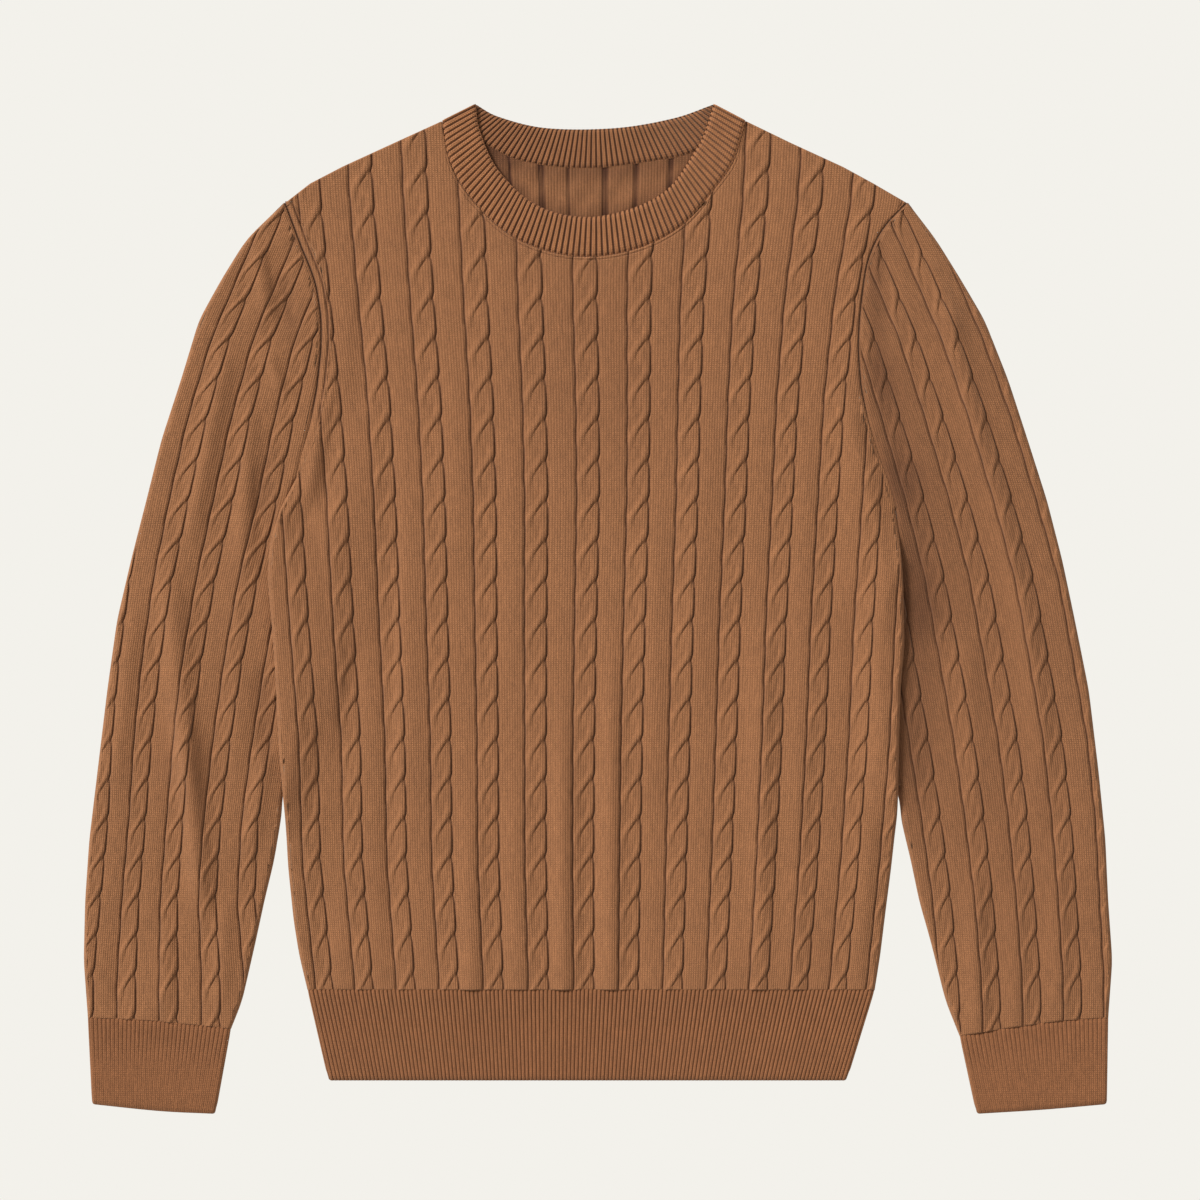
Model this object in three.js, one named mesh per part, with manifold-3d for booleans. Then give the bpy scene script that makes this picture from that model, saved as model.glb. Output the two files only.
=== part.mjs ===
// A cable knit sweater laid flat with its front up. Millimetres, +Z up, the neck towards +Y.
// The origin is on the surface that it lies on, under the middle of its whole outline.
import * as THREE from 'three';
import { mergeVertices } from 'three/addons/utils/BufferGeometryUtils.js';
import Module from 'manifold-3d';

const wasm = await Module();
wasm.setup();

// Cloth
const WALL = 2.0; // one layer of plain knit
const SEAM = 0.3; // between pieces that are sewn together, and between layers
const SLIT = 0.5; // hollow inside a flattened tube
const FRONT_BASE = WALL + SEAM; // height of the front's underside
const FRONT_PLAIN = FRONT_BASE + WALL; // height of the plain bands between the cables

// Cables: two strands that cross over and over, with a furrow on each side
const FURROW_DEPTH = 0.5;
const STRAND_OVER = 1.1; // rise of the strand on top, above the plain bands
const STRAND_UNDER = 0.3; // rise of the strand below it
const STRAND_STEP = 14.4; // half the distance from one crossing to the next
const CABLE_SHARE = 0.225; // half a cable's width, as a share of the spacing of the cables
const STRAND_SHARE = 0.1; // from a cable's middle to each strand's crest, likewise
const BAND_SHARE = 0.34; // from a cable's middle to the edge of the flat band, likewise
const SIDE_NARROWING = 0.05; // how much closer the body cables sit at the last whole one
const LAST_WHOLE_CABLE = 6;
const BODY_CABLES_PER_SIDE = 7;

// Ribs: hem, cuffs and neckband
const RIB_CREST = 5.0;
const RIB_VALLEY = 4.2;
const RIB_EDGE = 3.0; // height where a rib runs out at a seam or a free edge
const RIB_RUN_OUT = 0.05; // share of the ribbed length in which it does so
const NECKBAND_CREST = 3.0;
const NECKBAND_VALLEY = 2.3;
const NECKBAND_EDGE = 1.6;
const HEM_RIBS = 128;
const CUFF_RIBS = 30;
const NECK_FRONT_RIBS = 75;
const NECK_BACK_RIBS = 58;

// The body lies over the inner edges of the sleeves, so its sides are raised there
const TUCK_LIFT = 5.6;
const TUCK_MARGIN = 2;
const TUCK_RAMP = 20;
const ROW_ORIGIN = 94.3; // height of the left armpit: the rows of strands are counted from it
const LEFT_TUCK = { none: ROW_ORIGIN, full: ROW_ORIGIN - 2 * STRAND_STEP };
const RIGHT_TUCK = { none: ROW_ORIGIN - 2 * STRAND_STEP, full: ROW_ORIGIN - 4 * STRAND_STEP };
const TUCK_END = { full: ROW_ORIGIN - 16 * STRAND_STEP, none: ROW_ORIGIN - 18 * STRAND_STEP };

// Panels
const OUTLINE_STEP = 18;
const NECK_STEP = 8;
const SLEEVE_EDGE = 3.4; // from a sleeve's fold to the hollow inside it
const HOLLOW_PAST_SEAM = 12; // how far the cutter of a sleeve's hollow runs past the cuff's seam
const HOLLOW_PAST_SHOULDER = 60; // and past the armhole's seam, at its top
const HOLLOW_PAST_ARMPIT = 30; // and at its bottom
const HOLLOW_LEAN = 3; // how far the cutter's inner end moves in at the cuff
const EDGE_ROUND = 2.2; // how far the top of an edge is rounded in
const EDGE_BELOW = 1; // from where to where it is, seen from the plain knit
const EDGE_ABOVE = 2;
const UNDER_ROUND = 0.9;
const ARMHOLE_CLEARANCE = 0.5; // sideways, which leaves the seam's gap where it slants
const NECK_CLEARANCE = 0.6; // along the ribs, likewise
const SAME_PLACE = 1e-6; // of places along a line
const SAME_POINT = 1e-4; // of points in space
const SHARPEST_CORNER = 0.5; // one plus the cosine of the sharpest turn that an inset follows
const OUTSIDE = 300; // half the width of the sheets that the body's outline cuts
const STRAIGHT = 1e-4; // sine of the turn below which an outline's point is left out
const FIRST_ROW = -28;
const LAST_ROW = 20;
const HEM_SEAM_Y = -274;

// Both sides of the body from the shoulders to the hem: armhole seams down to the armpits,
// then the side edges
const BODY = [
  { y: 292, left: -225, right: 222 },
  { y: 276, left: -219, right: 206 },
  { y: 262, left: -214, right: 198 },
  { y: 248, left: -208, right: 193 },
  { y: 235, left: -203, right: 191 },
  { y: 210, left: -199, right: 188 },
  { y: 188, left: -199, right: 187 },
  { y: 159, left: -202, right: 189 },
  { y: 132, left: -207, right: 195 },
  { y: 109, left: -214, right: 202 },
  { y: 94, left: -217, right: 208 },
  { y: 73, left: -228, right: 214 },
  { y: 46, left: -236, right: 217 },
  { y: 21, left: -237, right: 219 },
  { y: -25, left: -233, right: 220 },
  { y: -58, left: -231, right: 217 },
  { y: -102, left: -229, right: 216 },
  { y: -148, left: -225, right: 215 },
  { y: -185, left: -223, right: 211 },
  { y: -224, left: -219, right: 206 },
  { y: -249, left: -215, right: 203 },
  { y: HEM_SEAM_Y, left: -209, right: 199 },
];
const ARMPIT_LEFT = 94;
const ARMPIT_RIGHT = 73;

// Outer edges of the sleeves from the shoulders to the cuffs
const SLEEVE_OUTER = [
  { y: 292, left: -228, right: 226 },
  { y: 266, left: -253, right: 243 },
  { y: 237, left: -271, right: 261 },
  { y: 208, left: -287, right: 278 },
  { y: 165, left: -300, right: 295 },
  { y: 122, left: -314, right: 309 },
  { y: 78, left: -325, right: 323 },
  { y: 35, left: -336, right: 334 },
  { y: -8, left: -346, right: 343 },
  { y: -58, left: -353, right: 353 },
  { y: -116, left: -360, right: 360 },
  { y: -166, left: -366, right: 365 },
  { y: -210, left: -369, right: 367 },
  { y: -253, left: -370, right: 370 },
  { y: -294, left: -367, right: 367 },
];

// Inner edges of the sleeves from the armpits to the cuffs, under the body for part of the way
const SLEEVE_INNER_LEFT = [
  { y: 94, x: -217 },
  { y: 73, x: -228 },
  { y: 64, x: -232 },
  { y: 46, x: -224 },
  { y: 21, x: -219 },
  { y: -25, x: -219 },
  { y: -86, x: -219 },
  { y: -118, x: -223 },
  { y: -134, x: -227 },
  { y: -148, x: -227.5 },
  { y: -181, x: -233 },
  { y: -210, x: -240 },
  { y: -238, x: -246 },
  { y: -282, x: -256 },
  { y: -302, x: -264 },
];
const SLEEVE_INNER_RIGHT = [
  { y: 73, x: 214 },
  { y: 55, x: 217 },
  { y: 36, x: 219.5 },
  { y: 21, x: 214 },
  { y: -8, x: 205 },
  { y: -58, x: 203 },
  { y: -102, x: 208 },
  { y: -126, x: 213 },
  { y: -137, x: 217 },
  { y: -152, x: 218 },
  { y: -181, x: 225 },
  { y: -210, x: 231 },
  { y: -238, x: 239 },
  { y: -282, x: 250 },
  { y: -307, x: 260 },
];

// Middle cable of the body and the spacing of the cables to its left and right, row by row:
// they fan out towards the shoulders
const BODY_CABLES = [
  { y: 380, middle: -9.4, left: 42.1, right: 42.8 },
  { y: 294, middle: -9.4, left: 41.0, right: 41.4 },
  { y: 222, middle: -9.0, left: 39.6, right: 38.7 },
  { y: 150, middle: -7.2, left: 38.4, right: 36.7 },
  { y: 78, middle: -6.8, left: 37.4, right: 35.7 },
  { y: -8, middle: -8.6, left: 36.1, right: 35.0 },
  { y: -94, middle: -10.1, left: 34.7, right: 34.6 },
  { y: -181, middle: -10.4, left: 34.3, right: 33.6 },
  { y: -300, middle: -9.7, left: 32.3, right: 31.5 },
];

// One cable of each sleeve and the spacing of the others, row by row
const SLEEVE_CABLES_LEFT = [
  { y: 380, middle: -199, spacing: 29 },
  { y: 300, middle: -226, spacing: 29 },
  { y: 251, middle: -247, spacing: 29.5 },
  { y: 194, middle: -271, spacing: 30 },
  { y: 136, middle: -288, spacing: 31.3 },
  { y: 78, middle: -301, spacing: 31.8 },
  { y: 21, middle: -312.5, spacing: 30.6 },
  { y: -37, middle: -321, spacing: 29.5 },
  { y: -94, middle: -327, spacing: 28.4 },
  { y: -152, middle: -331, spacing: 27 },
  { y: -210, middle: -336, spacing: 27.7 },
  { y: -267, middle: -339, spacing: 30.5 },
  { y: -330, middle: -339, spacing: 30.2 },
];
const SLEEVE_CABLES_RIGHT = [
  { y: 380, middle: 178, spacing: 28 },
  { y: 280, middle: 216, spacing: 28.8 },
  { y: 251, middle: 229, spacing: 29.5 },
  { y: 194, middle: 253.5, spacing: 30 },
  { y: 136, middle: 273.5, spacing: 31 },
  { y: 78, middle: 291, spacing: 31.3 },
  { y: 21, middle: 306.5, spacing: 31.9 },
  { y: -37, middle: 317, spacing: 32 },
  { y: -94, middle: 327, spacing: 32 },
  { y: -152, middle: 333.5, spacing: 31.2 },
  { y: -210, middle: 337.5, spacing: 30 },
  { y: -267, middle: 341, spacing: 29.5 },
  { y: -330, middle: 341, spacing: 28.4 },
];

// Shoulder lines, from the neck outwards
const SHOULDER_LEFT = [[-112, 351], [-147, 335], [-184, 318], [-207, 306], [-225, 292]];
const SHOULDER_RIGHT = [[106, 351], [139, 335], [176, 318], [198, 306], [222, 292]];

// Neckband: where it is sewn on and where it ends, at the front and at the back of the neck
const NECK_FRONT_SEAM = [[-112, 351], [-107, 323], [-92, 296], [-62, 268], [-21, 254], [21, 257],
  [58, 274], [86, 305], [98, 324], [106, 351]];
const NECK_FRONT_FREE = [[-88, 363], [-85, 344], [-72, 316], [-45, 291], [-12, 282], [21, 287],
  [50, 302], [70, 330], [77, 344], [83, 363]];
const NECK_BACK_FREE = [[-88, 363], [-71, 354], [-37, 346], [12, 346], [54, 353], [83, 363]];
const NECK_BACK_SEAM = [[-112, 351], [-81, 334], [-54, 322], [-9, 317], [45, 323], [72, 330], [106, 351]];
const NECK_LAYER = NECKBAND_CREST + SEAM; // the front of the band lies on its back at the sides
const NECK_LAYER_FROM = 295;
const NECK_LAYER_TO = 325;
const NECK_FOLD_WIDTH = 2.5;
const NECK_FOLD_HEIGHT = 5.2;
const NECK_FOLD_FROM = 0.25; // share of the shoulder fold, from its sewn end, where the join begins
const NECK_PLAIN_STEPS = 28; // stretches in which a plain line along the neckband is drawn

// Hem and cuffs: seams and free edges, each from left to right
const HEM_SEAM = [[-209, -274], [199, -274]];
const HEM_FREE = [[-194, -339], [179, -339]];
const CUFF_LEFT_SEAM = [[-367, -294], [-323, -296], [-282, -300], [-264, -302]];
const CUFF_LEFT_FREE = [[-364, -356], [-315, -361], [-275, -363]];
const CUFF_RIGHT_SEAM = [[260, -307], [297, -301], [334, -296], [367, -294]];
const CUFF_RIGHT_FREE = [[272, -363], [320, -360], [366, -356]];
const TUBE_EDGE = 2.4; // from a flattened tube's fold to the hollow inside it
const TUBE_SIDE_Z = 1.7; // height of the fold's outermost line
const TUBE_PLAIN_STEPS = 11; // stretches in which a plain line across a tube is drawn

const clamp01 = (value) => Math.min(1, Math.max(0, value));

// Value of a named column at the height y, between the table's rows
function valueAt(table, name, y) {
  const last = table.length - 1;
  if (y >= table[0].y) return table[0][name];
  if (y <= table[last].y) return table[last][name];
  const next = table.findIndex((row) => row.y <= y);
  const above = table[next - 1];
  const below = table[next];
  const share = (above.y - y) / (above.y - below.y);
  return above[name] + (below[name] - above[name]) * share;
}

function sampled(pairs, step) {
  const curve = new THREE.SplineCurve(pairs.map(([x, y]) => new THREE.Vector2(x, y)));
  return curve.getSpacedPoints(Math.max(1, Math.round(curve.getLength() / step)));
}

const edge = (table, name) => table.map((row) => new THREE.Vector2(row[name], row.y));

// How far the body is raised over the sleeve's inner edge at a point
function lift(x, y) {
  const leftRise = clamp01((LEFT_TUCK.none - y) / (LEFT_TUCK.none - LEFT_TUCK.full));
  const rightRise = clamp01((RIGHT_TUCK.none - y) / (RIGHT_TUCK.none - RIGHT_TUCK.full));
  const fall = clamp01((y - TUCK_END.none) / (TUCK_END.full - TUCK_END.none));
  const leftInner = valueAt(SLEEVE_INNER_LEFT, 'x', y) + TUCK_MARGIN;
  const rightInner = valueAt(SLEEVE_INNER_RIGHT, 'x', y) - TUCK_MARGIN;
  const left = leftRise * clamp01((leftInner + TUCK_RAMP - x) / TUCK_RAMP);
  const right = rightRise * clamp01((x - rightInner + TUCK_RAMP) / TUCK_RAMP);
  return TUCK_LIFT * fall * Math.max(left, right);
}

// Triangles between two lines of points, a on the left and b on the right of their direction
// when they are seen from outside; place() says how far along its line a point is. Where both
// lines have a point at the same place, the edge between the triangles rises from a to b, or
// with tie = 1 from b to a.
function band(faces, a, b, place, tie = -1) {
  let i = 0;
  let j = 0;
  while (i < a.length - 1 || j < b.length - 1) {
    const aIsNext = i < a.length - 1
      && (j === b.length - 1 || place(a[i + 1]) < place(b[j + 1]) + tie * SAME_PLACE);
    if (aIsNext) {
      faces.push(a[i], b[j], a[i + 1]);
      i += 1;
    } else {
      faces.push(a[i], b[j], b[j + 1]);
      j += 1;
    }
  }
}

function solidOf(faces) {
  const merged = mergeVertices(new THREE.BufferGeometry().setFromPoints(faces), SAME_POINT);
  return new wasm.Manifold(new wasm.Mesh({
    numProp: 3,
    vertProperties: merged.attributes.position.array,
    triVerts: Uint32Array.from(merged.index.array),
  }));
}

// A sheet with a top and an underside, each a list of columns from left to right whose points
// run upwards; all columns start at one height and end at another
function slab(top, under) {
  const faces = [];
  const byY = (point) => point.y;
  const byX = (point) => point.x;
  for (let i = 0; i < top.length - 1; i += 1) band(faces, top[i], top[i + 1], byY);
  for (let i = 0; i < under.length - 1; i += 1) band(faces, under[i + 1], under[i], byY, 1);
  band(faces, under[0], top[0], byY);
  band(faces, top.at(-1), under.at(-1), byY);
  band(faces, top.map((points) => points[0]), under.map((points) => points[0]), byX);
  band(faces, under.map((points) => points.at(-1)), top.map((points) => points.at(-1)), byX);
  return solidOf(faces);
}

// An outline moved inwards; its points run anticlockwise
function insetOutline(outline, distance) {
  return outline.map((point, i) => {
    const before = outline.at(i - 1);
    const after = outline[(i + 1) % outline.length];
    const arriving = point.clone().sub(before).normalize();
    const leaving = after.clone().sub(point).normalize();
    const inward = new THREE.Vector2(-arriving.y - leaving.y, arriving.x + leaving.x);
    const spread = Math.max(SHARPEST_CORNER, 1 + arriving.dot(leaving));
    return point.clone().addScaledVector(inward, distance / spread);
  });
}

// An outline without the points that lie on a straight line between their neighbours
function cornersOf(outline) {
  return outline.filter((point, i) => {
    const arriving = point.clone().sub(outline.at(i - 1));
    const leaving = outline[(i + 1) % outline.length].clone().sub(point);
    return Math.abs(arriving.cross(leaving)) > STRAIGHT * arriving.length() * leaving.length();
  });
}

// The space inside an outline, level by level: each level has its inset and its height
function prism(fullOutline, levels) {
  const outline = cornersOf(fullOutline);
  const rings = levels.map(({ inset, z }) => insetOutline(outline, inset)
    .map(({ x, y }) => new THREE.Vector3(x, y, z(x, y))));
  const faces = [];
  rings.slice(1).forEach((upper, level) => {
    const lower = rings[level];
    lower.forEach((point, i) => {
      const next = (i + 1) % lower.length;
      faces.push(point, lower[next], upper[next], point, upper[next], upper[i]);
    });
  });
  const [lowest, highest] = [rings[0], rings.at(-1)];
  THREE.ShapeUtils.triangulateShape(outline, []).forEach(([a, b, c]) => {
    faces.push(lowest[a], lowest[c], lowest[b], highest[a], highest[b], highest[c]);
  });
  return solidOf(faces);
}

const BELOW_ALL = -10;
const ABOVE_ALL = 30;
const level = (inset, height) => ({ inset, z: () => height });
const liftedLevel = (inset, height) => ({ inset, z: (x, y) => height + lift(x, y) });

function rowsEvery(step) {
  const rows = [];
  for (let row = FIRST_ROW; row <= LAST_ROW; row += step) rows.push(ROW_ORIGIN + row * STRAND_STEP);
  return rows;
}
const STRAND_ROWS = rowsEvery(1);
const tuckRows = (step) => rowsEvery(step).filter((y) => y > TUCK_END.none - 1 && y < LEFT_TUCK.none + 1);
const joined = (rows, others) => [...new Set([...rows, ...others])].sort((a, b) => a - b);
const PLAIN_ROWS = joined(rowsEvery(4), tuckRows(2));
const LIFT_ROWS = joined([STRAND_ROWS[0], STRAND_ROWS.at(-1)], tuckRows(1));

// The relief of a row of cables: the columns of points across it, from left to right.
// middleAt(index, y) is the middle of a cable, and raise(x, y) what the cloth lies on.
function cableColumns(first, last, middleAt, raise) {
  const line = (rows, xAt, riseAt) => rows.map((y, row) => {
    const x = xAt(y);
    return new THREE.Vector3(x, y, FRONT_PLAIN + riseAt(row) + raise(x, y));
  });
  const strand = (upperOnEven) => (row) => ((row % 2 === 0) === upperOnEven ? STRAND_OVER : STRAND_UNDER);
  const flat = () => 0;
  const furrow = () => -FURROW_DEPTH;
  const columns = [];
  for (let index = first; index <= last; index += 1) {
    const part = (share) => (y) => {
      const middle = middleAt(index, y);
      const neighbour = middleAt(index + Math.sign(share), y);
      return middle + Math.abs(share) * (neighbour - middle);
    };
    columns.push(
      line(PLAIN_ROWS, part(-BAND_SHARE), flat),
      line(PLAIN_ROWS, part(-CABLE_SHARE), furrow),
      line(STRAND_ROWS, part(-STRAND_SHARE), strand(true)),
      line(STRAND_ROWS, part(STRAND_SHARE), strand(false)),
      line(PLAIN_ROWS, part(CABLE_SHARE), furrow),
      line(PLAIN_ROWS, part(BAND_SHARE), flat),
    );
  }
  return columns;
}

function bodyCableMiddle(index, y) {
  const spacing = valueAt(BODY_CABLES, index < 0 ? 'left' : 'right', y);
  const narrowed = 1 - SIDE_NARROWING * (index / LAST_WHOLE_CABLE) ** 2;
  return valueAt(BODY_CABLES, 'middle', y) + index * spacing * narrowed;
}

// Flat sheet of the body: its columns follow the raised sides
function bodySheet(height) {
  const rampShares = [0, 0.5, 1];
  const lines = [
    () => -OUTSIDE,
    ...rampShares.map((share) => (y) => valueAt(SLEEVE_INNER_LEFT, 'x', y) + TUCK_MARGIN + share * TUCK_RAMP),
    () => 0,
    ...rampShares.map((share) => (y) => valueAt(SLEEVE_INNER_RIGHT, 'x', y) - TUCK_MARGIN - share * TUCK_RAMP)
      .reverse(),
    () => OUTSIDE,
  ];
  return lines.map((xAt) => LIFT_ROWS.map((y) => {
    const x = xAt(y);
    return new THREE.Vector3(x, y, height + lift(x, y));
  }));
}

// Body outline for a neck seam that runs from left to right, anticlockwise from the hem's left end
function bodyOutline(neckSeam) {
  const left = edge(BODY, 'left');
  return [
    left.at(-1),
    ...edge(BODY, 'right').reverse(),
    ...sampled(SHOULDER_RIGHT, OUTLINE_STEP).reverse().slice(1),
    ...sampled(neckSeam, NECK_STEP).reverse().slice(1),
    ...sampled(SHOULDER_LEFT, OUTLINE_STEP).slice(1),
    ...left.slice(1, -1),
  ];
}

function makeFront() {
  const relief = cableColumns(-BODY_CABLES_PER_SIDE, BODY_CABLES_PER_SIDE, bodyCableMiddle, lift);
  const cut = prism(bodyOutline(NECK_FRONT_SEAM), [
    level(0, BELOW_ALL),
    liftedLevel(0, FRONT_PLAIN - EDGE_BELOW),
    liftedLevel(EDGE_ROUND, FRONT_PLAIN + EDGE_ABOVE),
    level(EDGE_ROUND, ABOVE_ALL),
  ]);
  return slab(relief, bodySheet(FRONT_BASE)).intersect(cut);
}

function makeBack() {
  const cut = prism(bodyOutline(NECK_BACK_SEAM), [level(0, BELOW_ALL), level(0, ABOVE_ALL)]);
  return slab(bodySheet(WALL), bodySheet(0)).intersect(cut);
}

// What the two sleeves differ in; side is -1 for the left one of the picture
const LEFT_SLEEVE = {
  name: 'left', side: -1, armpit: ARMPIT_LEFT, inner: SLEEVE_INNER_LEFT,
  cables: SLEEVE_CABLES_LEFT, cuffSeam: CUFF_LEFT_SEAM, first: -2, last: 5,
};
const RIGHT_SLEEVE = {
  name: 'right', side: 1, armpit: ARMPIT_RIGHT, inner: SLEEVE_INNER_RIGHT,
  cables: SLEEVE_CABLES_RIGHT, cuffSeam: CUFF_RIGHT_SEAM, first: -5, last: 2,
};

// Edges of a sleeve, each from the top down
function sleeveEdges({ name, side, armpit, inner }) {
  const moved = ({ x, y }) => new THREE.Vector2(x + side * ARMHOLE_CLEARANCE, y);
  return {
    armhole: edge(BODY.filter((row) => row.y >= armpit), name).map(moved),
    inner: edge(inner, 'x').map(moved),
    outer: edge(SLEEVE_OUTER, name),
  };
}

// The outline of a sleeve, anticlockwise
function sleeveOutline(sleeve) {
  const { armhole, inner, outer } = sleeveEdges(sleeve);
  const middleOfCuffSeam = sleeve.cuffSeam.slice(1, -1).map(([x, y]) => new THREE.Vector2(x, y));
  if (sleeve.side < 0) {
    const innerUp = [...armhole, ...inner.slice(1)].reverse();
    return [...outer, ...middleOfCuffSeam, ...innerUp];
  }
  const outerUp = [...outer].reverse();
  return [...armhole, ...inner.slice(1), ...middleOfCuffSeam, ...outerUp];
}

// The hollow inside a sleeve, which runs past the seams at both ends
function sleeveHollow(sleeve) {
  const { inner, outer } = sleeveEdges(sleeve);
  const { side } = sleeve;
  const within = ({ x, y }, distance) => new THREE.Vector2(x - side * distance, y);
  const outerLine = outer.slice(1).map((point) => within(point, SLEEVE_EDGE));
  const innerLine = inner.map((point) => within(point, -SLEEVE_EDGE));
  const past = (point, dx, dy) => new THREE.Vector2(point.x + dx, point.y + dy);
  const line = [
    past(outerLine[0], -side * HOLLOW_PAST_SHOULDER, 0),
    ...outerLine,
    past(outerLine.at(-1), 0, -HOLLOW_PAST_SEAM),
    past(innerLine.at(-1), side * HOLLOW_LEAN, -HOLLOW_PAST_SEAM),
    ...innerLine.reverse(),
    past(innerLine.at(-1), -side * HOLLOW_PAST_ARMPIT, 0),
  ];
  return side < 0 ? line : line.reverse();
}

function makeSleeve(sleeve) {
  const { cables, first, last } = sleeve;
  const middleAt = (index, y) => valueAt(cables, 'middle', y) + index * valueAt(cables, 'spacing', y);
  const relief = cableColumns(first, last, middleAt, () => 0);
  const [leftEdge, rightEdge] = [relief[0], relief.at(-1)];
  const under = [leftEdge, rightEdge].map((points) => points.map(({ x, y }) => new THREE.Vector3(x, y, 0)));
  const cut = prism(sleeveOutline(sleeve), [
    level(UNDER_ROUND, BELOW_ALL),
    level(UNDER_ROUND, 0),
    level(0, UNDER_ROUND),
    level(0, FRONT_PLAIN - EDGE_BELOW),
    level(EDGE_ROUND, FRONT_PLAIN + EDGE_ABOVE),
    level(EDGE_ROUND, ABOVE_ALL),
  ]);
  const hollow = prism(sleeveHollow(sleeve), [level(0, WALL), level(0, WALL + SLIT)]);
  return slab(relief, under).intersect(cut).subtract(hollow);
}

// A point with its places along and across the piece that it is on
const placed = (x, y, z, along, across) => Object.assign(new THREE.Vector3(x, y, z), { along, across });
const along = (point) => point.along;
const across = (point) => point.across;

const ribHeight = (index, valley, crest) => (index % 2 === 0 ? valley : crest);

// A flattened ribbed tube between a seam and a free edge, open at both
function ribbedTube(seam, free, ribs) {
  const curve = (pairs) => new THREE.SplineCurve(pairs.map(([x, y]) => new THREE.Vector2(x, y)));
  const seamCurve = curve(seam);
  const freeCurve = curve(free);
  const pointAt = (u, v) => {
    const start = seamCurve.getPointAt(u);
    start.y -= SEAM;
    return start.lerp(freeCurve.getPointAt(u), v);
  };
  const width = seamCurve.getLength();
  const line = (count, margin, v, zAt) => Array.from({ length: count + 1 }, (_, i) => {
    const share = i / count;
    const { x, y } = pointAt(margin + share * (1 - 2 * margin), v);
    return placed(x, y, zAt(i, share), share, v);
  });
  const section = (v, atEdge) => {
    const sides = (z) => (i, share) => (share === 0 || share === 1 ? TUBE_SIDE_Z : z(i));
    const top = atEdge
      ? line(TUBE_PLAIN_STEPS, 0, v, sides(() => RIB_EDGE))
      : line(2 * ribs, 0, v, sides((i) => ribHeight(i, RIB_VALLEY, RIB_CREST)));
    const under = [top[0], ...line(TUBE_PLAIN_STEPS, UNDER_ROUND / width, v, () => 0), top.at(-1)];
    const hollowMargin = TUBE_EDGE / width;
    const middle = WALL + SLIT / 2;
    const ceiling = line(TUBE_PLAIN_STEPS, hollowMargin, v,
      (i, share) => (share === 0 || share === 1 ? middle : WALL + SLIT));
    const inside = line(TUBE_PLAIN_STEPS, hollowMargin, v, () => WALL).slice(1, -1);
    return { top, under, ceiling, floor: [ceiling[0], ...inside, ceiling.at(-1)] };
  };
  const sections = [
    section(0, true),
    section(RIB_RUN_OUT, false),
    section(1 - RIB_RUN_OUT, false),
    section(1, true),
  ];
  const faces = [];
  sections.slice(1).forEach((next, i) => {
    const here = sections[i];
    band(faces, here.top, next.top, along);
    band(faces, next.under, here.under, along);
    band(faces, next.ceiling, here.ceiling, along);
    band(faces, here.floor, next.floor, along);
  });
  const [first, last] = [sections[0], sections.at(-1)];
  band(faces, first.ceiling, first.top, along);
  band(faces, first.under, first.floor, along);
  band(faces, last.top, last.ceiling, along);
  band(faces, last.floor, last.under, along);
  return solidOf(faces);
}

// A ribbed strip of the neckband between its free edge and its seam
function neckStrip(freePairs, seamPairs, ribs, baseAt) {
  const free = new THREE.SplineCurve(freePairs.map(([x, y]) => new THREE.Vector2(x, y)));
  const seam = new THREE.SplineCurve(seamPairs.map(([x, y]) => new THREE.Vector2(x, y)));
  const pointAt = (t, v) => {
    const outer = seam.getPointAt(t);
    const inner = free.getPointAt(t);
    const clear = inner.clone().sub(outer).setLength(NECK_CLEARANCE);
    return inner.lerp(outer.add(clear), v);
  };
  const line = (count, v, riseAt) => Array.from({ length: count + 1 }, (_, i) => {
    const { x, y } = pointAt(i / count, v);
    return placed(x, y, baseAt(y) + riseAt(i), i / count, v);
  });
  const rib = (i) => ribHeight(i, NECKBAND_VALLEY, NECKBAND_CREST);
  const plain = () => NECKBAND_EDGE;
  const top = [
    line(NECK_PLAIN_STEPS, 0, plain),
    line(2 * ribs, RIB_RUN_OUT, rib),
    line(2 * ribs, 1 - RIB_RUN_OUT, rib),
    line(NECK_PLAIN_STEPS, 1, plain),
  ];
  const under = [line(NECK_PLAIN_STEPS, 0, () => 0), line(NECK_PLAIN_STEPS, 1, () => 0)];
  const faces = [];
  for (let i = 0; i < top.length - 1; i += 1) band(faces, top[i], top[i + 1], along);
  band(faces, under[1], under[0], along);
  band(faces, under[0], top[0], along);
  band(faces, top.at(-1), under[1], along);
  band(faces, top.map((points) => points[0]), under.map((points) => points[0]), across);
  band(faces, under.map((points) => points.at(-1)), top.map((points) => points.at(-1)), across);
  return solidOf(faces);
}

// The fold that joins the neckband's front and back along one shoulder
function neckFold(tip, corner) {
  const rise = Math.abs(tip.y - corner.y);
  const inward = new THREE.Vector2(-Math.sign(tip.x) * rise, -Math.abs(tip.x - corner.x))
    .setLength(NECK_FOLD_WIDTH);
  const sewnEnd = corner.clone().lerp(tip, NECK_FOLD_FROM);
  const outline = [sewnEnd, sewnEnd.clone().add(inward), tip.clone().add(inward), tip];
  return prism(tip.x < 0 ? outline : outline.reverse(), [level(0, 0), level(0, NECK_FOLD_HEIGHT)]);
}

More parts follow.
